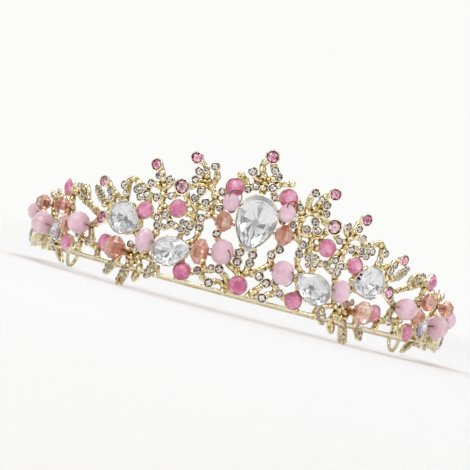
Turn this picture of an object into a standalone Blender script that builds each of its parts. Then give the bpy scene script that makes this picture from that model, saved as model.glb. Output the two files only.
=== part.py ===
"""A bridal tiara: a C of gold-plated wire and cast sprays, set with glass stones and beads.

Sizes below are in millimetres and degrees. A place on the crown is an angle round it, from the
middle of the front and positive to the wearer's left (+X), and a height above the base wire.
The tiara stands on the floor at z = 0, its front faces -Y and its open ends are at +Y.
"""

import math
from collections import namedtuple

import bmesh
import bpy
from mathutils import Matrix, Vector

MM = 0.001

# The ring of the head opening, and how far the base wire stands above the floor. The axis of the
# ring lies behind the origin, which is under the middle of the whole tiara.
AXIS_Y = 21.3
WIRE_RING_RADIUS = 69.6
WIRE_HEIGHT = 7.0
WIRE_DROP = 0.7  # the base wire lies this much lower than the rail of the spray
WIRE_RADIUS = 0.65
WIRE_STEP = 6.0  # degrees between the points of a bent wire
END_DIP = 1.3  # the ends of the base wire dip to the middle of the loops
END_DIP_START = 96.0

# The cast spray: its rail and twigs lie on a cylinder just outside the base wire
SPRAY_RADIUS = 71.1
RAIL_RADIUS = 0.65
RAIL_END_ANGLE = 103.0
TWIG_HALF_WIDTH = 0.76
TWIG_HALF_DEPTH = 0.6
TWIG_SIDES = 4
TWIG_STEP = 7.0  # the longest stretch of a twig that is left straight, in degrees
SETTING_BACK = 71.4  # where the small cups start
STONE_BACK = 72.05  # the backs of the main stones, 0.3 mm clear of the twigs
SEAT_GAP = 0.3

# The ribbon loop at each end, upright along the band, and the stem that carries it
LOOP_ANGLE = 119.3
LOOP_LENGTH = 7.8
LOOP_HEIGHT = 9.8
LOOP_LEAN = -6.0
LOOP_BENDS = 16
LOOP_SINK = 0.22  # how much of the wire's underside is filed flat at the floor
STEM_END = 116.4

# The copper binding that holds each loop's stem against the end of the base wire
BINDING_START = 103.9
BINDING_END = 109.6
BINDING_TURNS = 4
BINDING_BORE = 0.95
BINDING_RADIUS = 1.75
BINDING_GROOVE = 0.35
BINDING_MIDDLE = (BINDING_START + BINDING_END) / 2

CUT_SIDES = 12
CUT_GIRDLE = 0.45
DOME_SIDES = 10
BEAD_SIDES = 10
CHATON_SIDES = 6
RUBY_SIDES = 8
SEAT_SIDES = 6
SOLDER_GRAIN = 0.25  # how finely the pieces of the spray are melted into one skin
SPRAY_FACETS_KEPT = 0.0212

Cut = namedtuple("Cut", "name outline angle height length width turn crown depth")
Dome = namedtuple("Dome", "name angle height radius rise")
Bead = namedtuple("Bead", "name angle height radius half_width lift")
Chaton = namedtuple("Chaton", "angle height radius")
Leaf = namedtuple("Leaf", "base tip width")

# Clear foil-backed stones. Before its turn an oval's length lies along the crown, and a pear's
# hangs down it to the point.
CENTRE_CUT = Cut("centre_pear", "pear", 0.3, 25.1, 19.4, 13.8, -3.5, 2.6, 2.6)
SIDE_CUTS = [
    Cut("clear_side_pear", "pear", 19.4, 9.0, 14.0, 10.0, -112, 2.1, 2.3),
    Cut("clear_pear", "pear", 35.3, 15.4, 13.2, 11.2, -75, 2.1, 2.3),
    Cut("clear_cushion", "oval", 61.9, 5.2, 8.2, 7.8, -30, 1.7, 1.9),
    Cut("clear_drop", "pear", 80.2, 6.6, 12.0, 8.6, -90, 1.8, 2.0),
    Cut("clear_end_oval", "oval", 99.0, 2.2, 8.2, 9.8, 0, 1.8, 3.6),
]

# Opaque rose stones, flat behind and faceted in front
CENTRE_DOMES = [
    Dome("rose_dome_centre", 0.0, 3.4, 3.25, 2.6),
    Dome("rose_dome_top_left", -7.3, 35.2, 3.2, 1.7),
    Dome("rose_dome_top_right", 7.2, 36.1, 3.2, 1.7),
]
SIDE_DOMES = [
    Dome("rose_dome_a", 21.0, 23.3, 3.15, 2.5),
    Dome("rose_dome_b", 30.5, 19.9, 3.05, 2.5),
    Dome("rose_dome_c", 15.5, 3.2, 3.15, 2.5),
    Dome("rose_dome_d", 40.7, 5.8, 3.05, 1.9),
    Dome("rose_dome_e", 56.4, 2.2, 3.1, 2.4),
    Dome("rose_dome_f", 63.7, 21.0, 3.1, 2.0),
]

# Beads on their binding wire: pale pink ones and peach crystal ones
CENTRE_PALE = [
    Bead("pale_bead_top_left", -6.9, 29.9, 3.1, 2.7, 1.9),
    Bead("pale_bead_top_right", 7.4, 31.1, 3.1, 2.7, 1.9),
    Bead("pale_bead_low_left", -5.9, 13.0, 4.3, 3.6, 0.0),
    Bead("pale_bead_low_right", 10.3, 11.4, 4.2, 3.5, 0.0),
]
SIDE_PALE = [
    Bead("pale_bead_a", 26.9, 10.2, 4.0, 2.7, 0.0),
    Bead("pale_bead_b", 50.1, 10.0, 3.8, 3.8, 0.0),
    Bead("pale_bead_c", 69.2, 6.4, 4.1, 3.7, 0.0),
    Bead("pale_bead_d", 91.6, 9.6, 3.5, 3.2, 0.0),
    Bead("pale_bead_e", 107.6, 2.2, 3.1, 2.8, 1.2),
]
CENTRE_PEACH = [
    Bead("peach_bead_top_left", -7.6, 23.0, 3.4, 3.1, 0.0),
    Bead("peach_bead_top_right", 8.2, 23.7, 3.5, 3.1, 0.0),
    Bead("peach_bead_low_left", -11.5, 11.2, 4.4, 3.0, 0.0),
]
SIDE_PEACH = [
    Bead("peach_bead_a", 35.0, 5.1, 4.0, 3.6, 0.3),
    Bead("peach_bead_b", 56.8, 8.6, 2.9, 2.9, 0.0),
    Bead("peach_bead_c", 61.0, 14.1, 3.0, 3.2, 0.0),
    Bead("peach_bead_d", 76.6, 13.4, 2.8, 2.6, 0.4),
]

# Small stones in cups that are cast with the spray: the ruby tips, the rose chatons and the clear ones
CENTRE_TIPS = [Chaton(0.3, 48.2, 2.35)]
SIDE_TIPS = [
    Chaton(19.3, 41.6, 2.15),
    Chaton(30.3, 35.9, 2.1),
    Chaton(47.0, 26.0, 1.95),
    Chaton(21.2, 30.8, 2.8),
    Chaton(43.9, 13.8, 2.3),
]
CENTRE_CHATONS = [
    Chaton(-3.8, 41.7, 1.6),
    Chaton(1.9, 43.9, 1.5),
    Chaton(3.2, 42.2, 1.45),
    Chaton(-2.0, 37.2, 1.4),
    Chaton(-3.9, 36.2, 1.35),
    Chaton(2.4, 38.0, 1.6),
    Chaton(3.6, 35.2, 1.25),
    Chaton(-10.3, 32.6, 1.45),
    Chaton(10.9, 34.2, 1.45),
    Chaton(-9.9, 27.0, 1.35),
    Chaton(10.3, 28.0, 1.35),
    Chaton(-9.0, 18.4, 1.5),
    Chaton(8.3, 18.6, 1.55),
    Chaton(6.6, 16.2, 1.55),
    Chaton(-1.7, 14.3, 1.65),
    Chaton(-1.7, 11.1, 1.65),
    Chaton(1.7, 14.7, 1.65),
    Chaton(1.7, 11.6, 1.6),
    Chaton(-6.0, 7.1, 1.6),
    Chaton(-7.7, 1.8, 1.65),
    Chaton(-11.4, 4.6, 1.55),
    Chaton(4.9, 8.2, 1.65),
    Chaton(7.3, 6.5, 1.65),
    Chaton(7.2, 1.3, 1.65),
    Chaton(11.5, 4.4, 1.5),
]
SIDE_CHATONS = [
    Chaton(14.0, 40.2, 1.55),
    Chaton(17.9, 37.3, 1.55),
    Chaton(18.4, 34.3, 1.45),
    Chaton(16.0, 30.9, 1.55),
    Chaton(17.2, 28.2, 1.55),
    Chaton(14.1, 27.6, 1.55),
    Chaton(14.2, 22.2, 1.55),
    Chaton(14.0, 18.8, 1.55),
    Chaton(25.5, 32.1, 1.45),
    Chaton(29.1, 32.4, 1.35),
    Chaton(30.9, 29.4, 1.45),
    Chaton(33.0, 27.4, 1.45),
    Chaton(34.9, 26.0, 1.45),
    Chaton(31.4, 25.2, 1.45),
    Chaton(33.3, 23.9, 1.45),
    Chaton(28.1, 25.0, 1.55),
    Chaton(24.1, 26.8, 1.35),
    Chaton(24.3, 20.0, 1.45),
    Chaton(26.4, 18.5, 1.45),
    Chaton(25.9, 16.0, 1.4),
    Chaton(18.6, 19.1, 1.45),
    Chaton(16.6, 18.4, 1.45),
    Chaton(18.8, 16.8, 1.4),
    Chaton(39.6, 26.5, 1.45),
    Chaton(44.2, 23.6, 1.4),
    Chaton(43.3, 21.3, 1.4),
    Chaton(46.2, 12.0, 1.2),
    Chaton(47.5, 4.5, 1.6),
    Chaton(53.0, 5.9, 1.2),
    Chaton(71.4, 18.0, 1.45),
    Chaton(79.6, 17.2, 1.45),
    Chaton(30.6, 6.6, 1.45),
]

# Leaf-shaped settings, from stem to tip. The front stands on the two foot leaves.
SIDE_LEAVES = [
    Leaf((23.4, 4.6), (25.9, -2.3), 3.0),
    Leaf((28.2, 0.2), (29.3, -4.6), 3.6),
    Leaf((36.2, 1.2), (39.3, -4.3), 3.2),
    Leaf((45.6, 18.6), (50.9, 23.9), 3.0),
    Leaf((53.0, 18.4), (60.2, 22.9), 2.8),
    Leaf((67.0, 1.8), (58.6, -4.9), 4.2),
    Leaf((62.0, 3.4), (70.5, -2.0), 3.4),
    Leaf((69.0, 3.2), (77.5, -2.4), 4.0),
    Leaf((75.5, -0.6), (84.5, 3.6), 4.0),
    Leaf((82.0, 0.0), (90.5, 4.8), 4.2),
    Leaf((86.5, -1.2), (96.0, 2.8), 4.4),
    Leaf((91.0, 5.0), (100.0, 0.8), 4.4),
    Leaf((94.5, -1.4), (102.6, 2.4), 3.8),
]
FOOT_LEAF = Leaf((31.6, 1.4), (33.7, -7.8), 3.6)
LEAF_THICKNESS = 1.15

# Twigs of the spray, each a short run of places (angle, height). The side ones are mirrored.
CENTRE_TWIGS = [
    [(0.3, 47.6), (-1.7, 44.6), (-0.9, 41.6), (0.0, 39.6), (0.0, 36.6), (0.3, 33.5)],
    [(0.3, 47.6), (1.8, 44.2), (3.0, 42.2), (1.6, 40.8), (0.0, 39.6)],
    [(-3.8, 41.7), (-2.6, 40.0), (0.0, 39.6)],
    [(7.4, 40.9), (4.0, 39.8), (2.4, 38.2), (0.0, 37.2)],
    [(-7.0, 39.6), (-5.3, 38.6), (-3.9, 36.2), (-2.0, 37.2), (0.0, 37.2)],
    [(-3.9, 36.2), (-7.3, 35.2), (-10.3, 32.6), (-12.2, 30.6)],
    [(2.4, 38.2), (3.8, 35.4), (7.3, 35.8), (10.9, 34.2), (12.2, 30.6)],
    [(-10.3, 32.6), (-7.4, 30.3), (-3.6, 28.6)],
    [(10.9, 34.2), (7.9, 31.2), (4.2, 28.6)],
    [(-12.2, 30.6), (-9.9, 27.0), (-7.6, 23.0), (-9.0, 18.4), (-7.6, 15.4), (-5.9, 13.0)],
    [(12.2, 30.6), (10.3, 28.0), (8.3, 23.8), (8.3, 18.6), (6.6, 16.2), (7.4, 13.2), (10.3, 11.4)],
    [(-14.2, 22.2), (-11.4, 24.0), (-7.6, 23.0)],
    [(14.2, 22.2), (11.6, 24.2), (8.3, 23.8)],
    [(-1.5, 18.4), (-1.7, 14.3), (-1.7, 11.1), (-1.1, 8.2), (0.0, 5.2)],
    [(1.6, 18.4), (1.7, 14.7), (1.7, 11.6), (1.1, 8.2), (0.0, 5.2)],
    [(-5.9, 13.0), (-3.9, 9.4), (-1.1, 7.8)],
    [(7.4, 13.2), (3.0, 8.6), (1.1, 8.2)],
    [(-5.9, 13.0), (-6.0, 7.1), (-3.4, 4.6), (-2.6, 0.0)],
    [(0.0, 5.2), (0.0, 0.0)],
    [(-11.5, 11.2), (-9.4, 5.8), (-6.0, 7.1)],
    [(-15.2, 3.0), (-11.4, 4.6), (-9.4, 5.8)],
    [(-11.4, 4.6), (-7.7, 1.8), (-4.8, 3.0), (-3.2, 0.2)],
    [(-7.7, 1.8), (-8.4, 0.0)],
    [(10.3, 11.4), (9.7, 7.6), (11.5, 4.4), (15.2, 3.0)],
    [(9.7, 7.6), (7.3, 6.5), (4.9, 8.2), (3.0, 8.6)],
    [(7.3, 6.5), (5.6, 4.2), (4.4, 2.6), (3.0, 0.2)],
    [(11.5, 4.4), (9.0, 3.4), (7.2, 1.3), (4.4, 2.6)],
    [(7.2, 1.3), (7.9, 0.0)],
    [(-11.5, 11.2), (-14.8, 10.4)],
    [(10.3, 11.4), (15.0, 10.6)],
]
SIDE_TWIGS = [
    [(19.3, 41.6), (17.2, 39.6), (15.4, 35.2), (13.6, 33.2), (12.2, 30.6)],
    [(14.0, 40.2), (13.2, 37.6), (13.6, 33.2)],
    [(17.9, 37.3), (15.8, 36.4)],
    [(18.4, 34.3), (15.2, 34.8)],
    [(13.6, 33.2), (17.8, 33.0), (19.4, 31.4), (21.2, 30.8)],
    [(12.2, 30.6), (12.4, 26.6), (16.2, 25.8), (18.6, 26.2), (21.2, 30.8)],
    [(14.1, 27.6), (12.4, 27.2)],
    [(16.0, 30.9), (17.2, 28.2), (16.4, 25.8)],
    [(12.4, 26.6), (11.5, 24.1)],
    [(18.6, 26.2), (20.7, 23.1), (23.6, 22.6), (26.5, 23.4)],
    [(16.4, 25.8), (16.7, 22.2), (16.6, 18.4), (18.6, 19.1), (18.8, 16.8), (19.0, 12.4)],
    [(14.2, 22.2), (16.7, 22.2), (20.7, 23.1)],
    [(14.2, 22.2), (14.0, 18.8), (14.4, 15.4), (16.4, 12.6)],
    [(23.6, 22.6), (24.3, 20.0), (26.4, 18.5), (25.9, 16.0), (26.9, 10.2)],
    [(26.4, 18.5), (29.8, 19.5), (31.4, 25.2), (33.0, 27.4)],
    [(24.1, 26.8), (27.0, 26.6)],
    [(21.2, 30.8), (24.1, 26.8)],
    [(30.3, 35.9), (28.8, 33.2), (27.4, 29.4), (27.0, 26.6), (26.5, 23.4), (26.4, 18.5)],
    [(25.5, 32.1), (25.9, 30.2), (27.4, 28.6)],
    [(27.4, 28.6), (30.9, 29.4), (33.0, 27.4), (34.9, 28.2), (38.4, 29.2), (38.9, 26.2), (38.2, 19.6)],
    [(33.0, 27.4), (34.9, 26.0), (33.3, 23.9), (31.4, 25.2), (27.0, 25.6)],
    [(39.6, 26.5), (38.9, 26.2)],
    [(47.0, 26.0), (44.2, 23.6), (41.8, 22.6), (38.2, 20.4)],
    [(44.2, 23.6), (43.3, 21.3), (43.2, 17.4), (43.9, 13.8)],
    [(43.3, 21.3), (45.6, 18.6)],
    [(38.6, 15.0), (43.9, 13.8), (48.4, 15.2), (53.4, 17.6), (63.4, 20.6)],
    [(53.4, 17.6), (55.2, 21.6), (58.6, 22.0)],
    [(43.9, 13.8), (46.2, 12.0), (50.1, 10.0), (56.8, 8.6), (61.0, 14.1), (63.4, 20.9)],
    [(40.5, 5.2), (44.2, 3.8), (47.5, 4.5), (48.6, 8.0), (50.1, 10.0)],
    [(47.5, 4.5), (53.0, 5.9), (56.8, 8.6)],
    [(53.0, 5.9), (52.2, 3.0), (52.8, 0.0)],
    [(44.2, 3.8), (43.6, 0.0)],
    [(56.4, 0.0), (56.4, 2.2), (58.6, 2.6), (61.9, 5.2), (61.0, 14.1)],
    [(61.9, 5.2), (65.4, 2.2), (69.2, 6.4), (76.6, 13.4), (79.6, 17.2)],
    [(61.0, 14.1), (66.4, 15.0), (71.4, 18.0), (76.6, 13.4)],
    [(69.2, 6.4), (72.6, 2.6), (80.2, 6.6), (86.4, 7.4), (91.4, 9.6)],
    [(72.6, 2.6), (72.8, 0.0)],
    [(80.2, 6.6), (80.4, 0.0)],
    [(86.4, 7.4), (88.2, 3.2), (88.4, 0.0)],
    [(91.4, 9.6), (93.2, 4.6), (99.0, 2.2), (101.4, 0.2)],
    [(99.0, 2.6), (103.8, 3.0), (107.6, 3.0)],
    [(65.4, 2.2), (65.4, 0.0)],
    [(31.6, 3.4), (31.6, 0.2)],
    [(31.6, 3.4), (28.6, 1.8), (28.4, 0.0)],
    [(31.6, 3.4), (35.0, 4.4), (36.2, 0.4)],
    [(35.0, 4.4), (40.5, 5.2)],
    [(31.6, 3.4), (28.2, 5.0), (26.9, 10.2)],
    [(31.6, 3.4), (30.6, 6.6), (31.0, 10.4), (33.0, 13.2)],
    [(28.2, 5.0), (23.6, 4.6), (22.4, 6.6)],
    [(23.6, 4.6), (22.8, 0.0)],
    [(15.5, 3.2), (17.0, 0.0)],
    [(15.5, 3.2), (17.0, 7.4)],
]
# How the stones are carried: a gallery ring behind each long one, a little cup behind the others
GALLERY_FROM_LENGTH = 13.0
GALLERY_SHARE = 0.74  # of the stone's outline
GALLERY_WIRE_RADIUS = 0.55
CUT_SEAT_SHARE = 0.27  # of the stone's width
DOME_SEAT_SHARE = 0.68  # of the stone's radius
BEAD_SEAT_RADIUS = 1.15
SEAT_SINK = 0.45  # how far a seat starts behind the middle of the twigs

# How far the cups reach behind and in front of SETTING_BACK
CHATON_REACH = (0.5, 1.7)
TIP_REACH = (0.7, 2.6)


def clear_scene():
    for obj in list(bpy.data.objects):
        bpy.data.objects.remove(obj)


def material(name, colour, metallic, roughness):
    made = bpy.data.materials.new(name)
    made.use_nodes = True
    shader = made.node_tree.nodes["Principled BSDF"]
    shader.inputs["Base Color"].default_value = (*colour, 1)
    shader.inputs["Metallic"].default_value = metallic
    shader.inputs["Roughness"].default_value = roughness
    return made


def outward(angle):
    return Vector((math.sin(math.radians(angle)), -math.cos(math.radians(angle)), 0))


def along(angle):
    return Vector((math.cos(math.radians(angle)), math.sin(math.radians(angle)), 0))


def on_crown(angle, height, radius):
    """The point at this angle, height above the base wire and distance from the crown's axis."""
    return outward(angle) * radius + Vector((0, AXIS_Y, height + WIRE_HEIGHT))


def facing_out(angle, height, radius, turn=0.0):
    """A frame at that place: x runs along the crown, y up it and z out of it, turned about z."""
    side = along(angle)
    out = outward(angle)
    axes = Matrix((side, Vector((0, 0, 1)), out)).transposed().to_4x4()
    place = Matrix.Translation(on_crown(angle, height, radius))
    return place @ axes @ Matrix.Rotation(math.radians(turn), 4, "Z")


def side_name(side):
    return "right" if side > 0 else "left"


def mirrored(row, side):
    """A row of a side table on this side of the crown, +1 or -1."""
    changes = {"angle": row.angle * side}
    if hasattr(row, "turn"):
        changes["turn"] = row.turn * side
    if hasattr(row, "name"):
        changes["name"] = f"{row.name}_{side_name(side)}"
    return row._replace(**changes)


def both_sides(centre_rows, side_rows):
    return list(centre_rows) + [mirrored(row, side) for side in (-1, 1) for row in side_rows]


def turned(points, side):
    return [(angle * side, height) for angle, height in points]


def ring_of(outline, share, depth, matrix=None):
    """The outline scaled by share, at this depth along z."""
    points = [Vector((x * share, y * share, depth)) for x, y in outline]
    return [matrix @ point for point in points] if matrix else points


def round_outline(radius, sides, start=0.5):
    steps = [2 * math.pi * (k + start) / sides for k in range(sides)]
    return [(radius * math.cos(t), radius * math.sin(t)) for t in steps]


def oval_outline(length, width, sides):
    return [(x * length / 2, y * width / 2) for x, y in round_outline(1, sides)]


def pear_outline(length, width, sides):
    """A drop with its point at -y. The power sets how full its shoulders are."""
    fullness = 0.48
    steps = [2 * math.pi * k / sides for k in range(sides)]
    swell = [math.sin(t) * math.sin(t / 2) ** fullness for t in steps]
    widest = max(swell)
    return [
        (-s / widest * width / 2, -math.cos(t) * length / 2) for t, s in zip(steps, swell)
    ][::-1]


def cut_outline(cut):
    shape = pear_outline if cut.outline == "pear" else oval_outline
    return shape(cut.length, cut.width, CUT_SIDES)


def loft(mesh, rings):
    """A closed body through rings of points, each ring seen anticlockwise from the last one's end."""
    rows = [[mesh.verts.new(point) for point in ring] for ring in rings]
    count = len(rows[0])
    for low, high in zip(rows, rows[1:]):
        for k in range(count):
            after = (k + 1) % count
            mesh.faces.new((low[k], low[after], high[after], high[k]))
    mesh.faces.new(rows[0][::-1])
    mesh.faces.new(rows[-1])


def loft_loop(mesh, rings):
    """A closed ring-shaped body: the last ring joins the first."""
    rows = [[mesh.verts.new(point) for point in ring] for ring in rings]
    count = len(rows[0])
    for low, high in zip(rows, rows[1:] + rows[:1]):
        for k in range(count):
            after = (k + 1) % count
            mesh.faces.new((low[k], low[after], high[after], high[k]))


def section(centre, heading, out, half_width, half_depth, sides, start):
    """A ring of points round a path: width lies in the crown's surface, depth across it."""
    heading = heading.normalized()
    depth_axis = (out - heading * out.dot(heading)).normalized()
    width_axis = depth_axis.cross(heading)
    ring = []
    for k in range(sides):
        t = 2 * math.pi * (k + start) / sides
        ring.append(
            centre
            + width_axis * half_width * math.cos(t)
            + depth_axis * half_depth * math.sin(t)
        )
    return ring


def swept(mesh, centres, outs, half_widths, half_depths, sides, start=0.0):
    """A closed tube along a path, with its own width and depth at each point."""
    rings = []
    for k, centre in enumerate(centres):
        before = centres[max(k - 1, 0)]
        after = centres[min(k + 1, len(centres) - 1)]
        rings.append(
            section(centre, after - before, outs[k], half_widths[k], half_depths[k], sides, start)
        )
    loft(mesh, [ring[::-1] for ring in rings])


def finish_mesh(mesh):
    """Faces out, and millimetres to metres."""
    bmesh.ops.recalc_face_normals(mesh, faces=mesh.faces)
    bmesh.ops.scale(mesh, vec=(MM, MM, MM), verts=mesh.verts)


def make_object(name, mesh, finish, smooth_angle=None):
    data = bpy.data.meshes.new(name)
    mesh.to_mesh(data)
    mesh.free()
    data.materials.append(finish)
    obj = bpy.data.objects.new(name, data)
    bpy.context.scene.collection.objects.link(obj)
    if smooth_angle:
        data.shade_smooth()
        data.set_sharp_from_angle(angle=math.radians(smooth_angle))
    return obj


def combine(obj, other, operation):
    """Unites the object with the other one or cuts it by that, which then only guides the shape."""
    other.hide_render = True
    other.display_type = "WIRE"
    modifier = obj.modifiers.new(other.name, "BOOLEAN")
    modifier.operation = operation
    modifier.solver = "EXACT"
    modifier.object = other


def floor_block(finish):
    """What lies below the floor: it files the two leaf tips that the front stands on flat."""
    mesh = bmesh.new()
    reach = 2.2 * SPRAY_RADIUS
    depth = 4.0
    bmesh.ops.create_cube(mesh, size=1)
    bmesh.ops.scale(mesh, vec=(reach, reach, depth), verts=mesh.verts)
    bmesh.ops.translate(mesh, vec=(0, 0, -depth / 2), verts=mesh.verts)
    finish_mesh(mesh)
    return make_object("floor_block", mesh, finish)


def flatten_foot(mesh):
    """Cuts off what lies below the floor, so that the piece stands on a small flat."""
    geometry = list(mesh.verts) + list(mesh.edges) + list(mesh.faces)
    cut = bmesh.ops.bisect_plane(
        mesh, geom=geometry, plane_co=(0, 0, 0), plane_no=(0, 0, 1), clear_inner=True
    )
    rim = [edge for edge in cut["geom_cut"] if isinstance(edge, bmesh.types.BMEdge)]
    bmesh.ops.contextual_create(mesh, geom=rim)


def cut_stone(cut, finish):
    """A stone with a table, a ring of crown facets, a girdle and a tapering foil back."""
    outline = cut_outline(cut)
    mesh = bmesh.new()
    frame = facing_out(cut.angle, cut.height, STONE_BACK + cut.depth, cut.turn)
    foil = (0.52, -cut.depth)
    girdle_below = (0.97, -CUT_GIRDLE / 2)
    girdle_above = (1.0, CUT_GIRDLE / 2)
    facet_break = (0.83, cut.crown * 0.68)
    table = (0.55, cut.crown)
    profile = [foil, girdle_below, girdle_above, facet_break, table]
    loft(mesh, [ring_of(outline, share, depth, frame) for share, depth in profile])
    finish_mesh(mesh)
    return make_object(cut.name, mesh, finish)


def dome_stone(dome, finish):
    """A round flat-backed stone whose front rises in two rings of facets to a small table."""
    outline = round_outline(dome.radius, DOME_SIDES)
    mesh = bmesh.new()
    frame = facing_out(dome.angle, dome.height, STONE_BACK)
    flat_back = (0.92, 0.0)
    girdle = (1.0, dome.rise * 0.25)
    facet_break = (0.78, dome.rise * 0.75)
    table = (0.42, dome.rise)
    profile = [flat_back, girdle, facet_break, table]
    loft(mesh, [ring_of(outline, share, depth, frame) for share, depth in profile])
    finish_mesh(mesh)
    return make_object(dome.name, mesh, finish)


def bead_centre_radius(bead):
    return STONE_BACK + bead.lift + bead.radius


def faceted_bead(bead, finish):
    """A barrel of facets round the thread's line, which runs along the crown."""
    outline = round_outline(bead.radius, BEAD_SIDES)
    mesh = bmesh.new()
    frame = facing_out(bead.angle, bead.height, bead_centre_radius(bead))
    thread_line = frame @ Matrix.Rotation(math.radians(90), 4, "Y")
    stations = [(-1.0, 0.5), (-0.38, 1.0), (0.38, 1.0), (1.0, 0.5)]
    loft(
        mesh,
        [ring_of(outline, share, at * bead.half_width, thread_line) for at, share in stations],
    )
    finish_mesh(mesh)
    return make_object(bead.name, mesh, finish)


def add_rail(mesh):
    """The lower edge of the cast spray, from end to end."""
    count = round(2 * RAIL_END_ANGLE / WIRE_STEP)
    angles = [-RAIL_END_ANGLE + 2 * RAIL_END_ANGLE * k / count for k in range(count + 1)]
    centres = [on_crown(angle, 0, SPRAY_RADIUS) for angle in angles]
    sizes = [RAIL_RADIUS] * len(angles)
    swept(mesh, centres, [outward(angle) for angle in angles], sizes, sizes, 6, 0.5)


def add_twig(mesh, points, number):
    """One twig. Its place and size vary a little from twig to twig, as a casting's do."""
    lift = 0.04 * (number % 7) - 0.16
    places = [points[0]]
    for start, end in zip(points, points[1:]):
        parts = max(1, math.ceil(abs(end[0] - start[0]) / TWIG_STEP))
        for k in range(1, parts + 1):
            share = k / parts
            places.append(
                (start[0] + (end[0] - start[0]) * share, start[1] + (end[1] - start[1]) * share)
            )
    centres = [on_crown(angle, height, SPRAY_RADIUS + lift) for angle, height in places]
    growth = 1 + 0.025 * (number % 4)
    half_widths = [TWIG_HALF_WIDTH * growth] * len(centres)
    half_depths = [TWIG_HALF_DEPTH * growth] * len(centres)
    outs = [outward(angle) for angle, _ in places]
    swept(mesh, centres, outs, half_widths, half_depths, TWIG_SIDES)


def add_leaf(mesh, leaf):
    """A pointed leaf-shaped setting, thickest at its broad middle."""
    stations = [(0.0, 0.5), (0.3, 1.0), (0.75, 0.92), (1.0, 0.45)]
    centres, outs, widths, depths = [], [], [], []
    for share, swell in stations:
        angle = leaf.base[0] + (leaf.tip[0] - leaf.base[0]) * share
        height = leaf.base[1] + (leaf.tip[1] - leaf.base[1]) * share
        centres.append(on_crown(angle, height, SPRAY_RADIUS))
        outs.append(outward(angle))
        widths.append(leaf.width / 2 * swell)
        depths.append(LEAF_THICKNESS / 2 * (0.6 + 0.4 * swell))
    swept(mesh, centres, outs, widths, depths, 6)


def add_chaton(mesh, chaton, sides, reach):
    """A small stone in its cup: the cup widens to the rim, and the stone's table stands above it."""
    back, front = reach
    outline = round_outline(chaton.radius, sides, start=0.25)
    frame = facing_out(chaton.angle, chaton.height, SETTING_BACK)
    loft(
        mesh,
        [
            ring_of(outline, 0.62, -back, frame),
            ring_of(outline, 1.0, front * 0.62, frame),
            ring_of(outline, 0.56, front, frame),
        ],
    )


def add_seat(mesh, angle, height, radius, stone_back):
    """The little cup that carries a main stone or bead, SEAT_GAP clear of it."""
    outline = round_outline(radius, SEAT_SIDES, start=0.15)
    frame = facing_out(angle, height, SPRAY_RADIUS)
    loft(
        mesh,
        [
            ring_of(outline, 1.0, -SEAT_SINK, frame),
            ring_of(outline, 0.8, stone_back - SEAT_GAP - SPRAY_RADIUS, frame),
        ],
    )


def add_gallery(mesh, cut):
    """The ring behind a large stone that the twigs are soldered to."""
    frame = facing_out(cut.angle, cut.height, SPRAY_RADIUS, cut.turn)
    wire = round_outline(GALLERY_WIRE_RADIUS, 4, start=0.0)
    outline = [(x * GALLERY_SHARE, y * GALLERY_SHARE) for x, y in cut_outline(cut)]
    count = len(outline)
    rings = []
    for k in range(count):
        here = Vector((*outline[k], 0))
        ahead = Vector((*outline[(k + 1) % count], 0)) - Vector((*outline[k - 1], 0))
        across = Vector((0, 0, 1)).cross(ahead.normalized())
        rings.append([frame @ (here + across * a + Vector((0, 0, b))) for a, b in wire])
    loft_loop(mesh, rings)


def make_spray(finish):
    """The cast and soldered metal as one solid: rail, twigs, leaves, cups and their small stones."""
    parts = bmesh.new()
    for number, points in enumerate(CENTRE_TWIGS):
        add_twig(parts, points, number)
    for side in (-1, 1):
        for number, points in enumerate(SIDE_TWIGS):
            add_twig(parts, turned(points, side), number)
        for leaf in SIDE_LEAVES + [FOOT_LEAF]:
            base, tip = turned((leaf.base, leaf.tip), side)
            add_leaf(parts, Leaf(base, tip, leaf.width))
    for chaton in both_sides(CENTRE_CHATONS, SIDE_CHATONS):
        add_chaton(parts, chaton, CHATON_SIDES, CHATON_REACH)
    for chaton in both_sides(CENTRE_TIPS, SIDE_TIPS):
        add_chaton(parts, chaton, RUBY_SIDES, TIP_REACH)
    for cut in both_sides([CENTRE_CUT], SIDE_CUTS):
        if cut.length > GALLERY_FROM_LENGTH:
            add_gallery(parts, cut)
        else:
            add_seat(parts, cut.angle, cut.height, cut.width * CUT_SEAT_SHARE, STONE_BACK)
    for dome in both_sides(CENTRE_DOMES, SIDE_DOMES):
        add_seat(parts, dome.angle, dome.height, dome.radius * DOME_SEAT_SHARE, STONE_BACK)
    beads = both_sides(CENTRE_PALE + CENTRE_PEACH, SIDE_PALE + SIDE_PEACH)
    for bead in beads:
        add_seat(parts, bead.angle, bead.height, BEAD_SEAT_RADIUS, STONE_BACK + bead.lift)
    add_rail(parts)
    finish_mesh(parts)
    spray = make_object("spray_frame", parts, finish)
    solder = spray.modifiers.new("Solder", "REMESH")
    solder.mode = "VOXEL"
    solder.voxel_size = SOLDER_GRAIN * MM
    fewer = spray.modifiers.new("Fewer facets", "DECIMATE")
    fewer.ratio = SPRAY_FACETS_KEPT
    combine(spray, floor_block(finish), "DIFFERENCE")
    return spray


def wire_height(angle):
    """The base wire's height at this angle: level, then dipping towards the loop."""
    share = max(0.0, abs(angle) - END_DIP_START) / (STEM_END - END_DIP_START)
    return -WIRE_DROP - END_DIP * share**2


def bent_wire(mesh, first, last):
    """Wire along the band from the first angle to the last."""
    count = max(2, round(abs(last - first) / WIRE_STEP))
    angles = [first + (last - first) * k / count for k in range(count + 1)]
    centres = [on_crown(angle, wire_height(angle), WIRE_RING_RADIUS) for angle in angles]
    sizes = [WIRE_RADIUS] * len(angles)
    swept(mesh, centres, [outward(angle) for angle in angles], sizes, sizes, 6, 0.5)


def half_gap():
    """Half the gap between two wire ends inside the binding, in degrees."""
    return math.degrees(SEAT_GAP / 2 / WIRE_RING_RADIUS)


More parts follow.
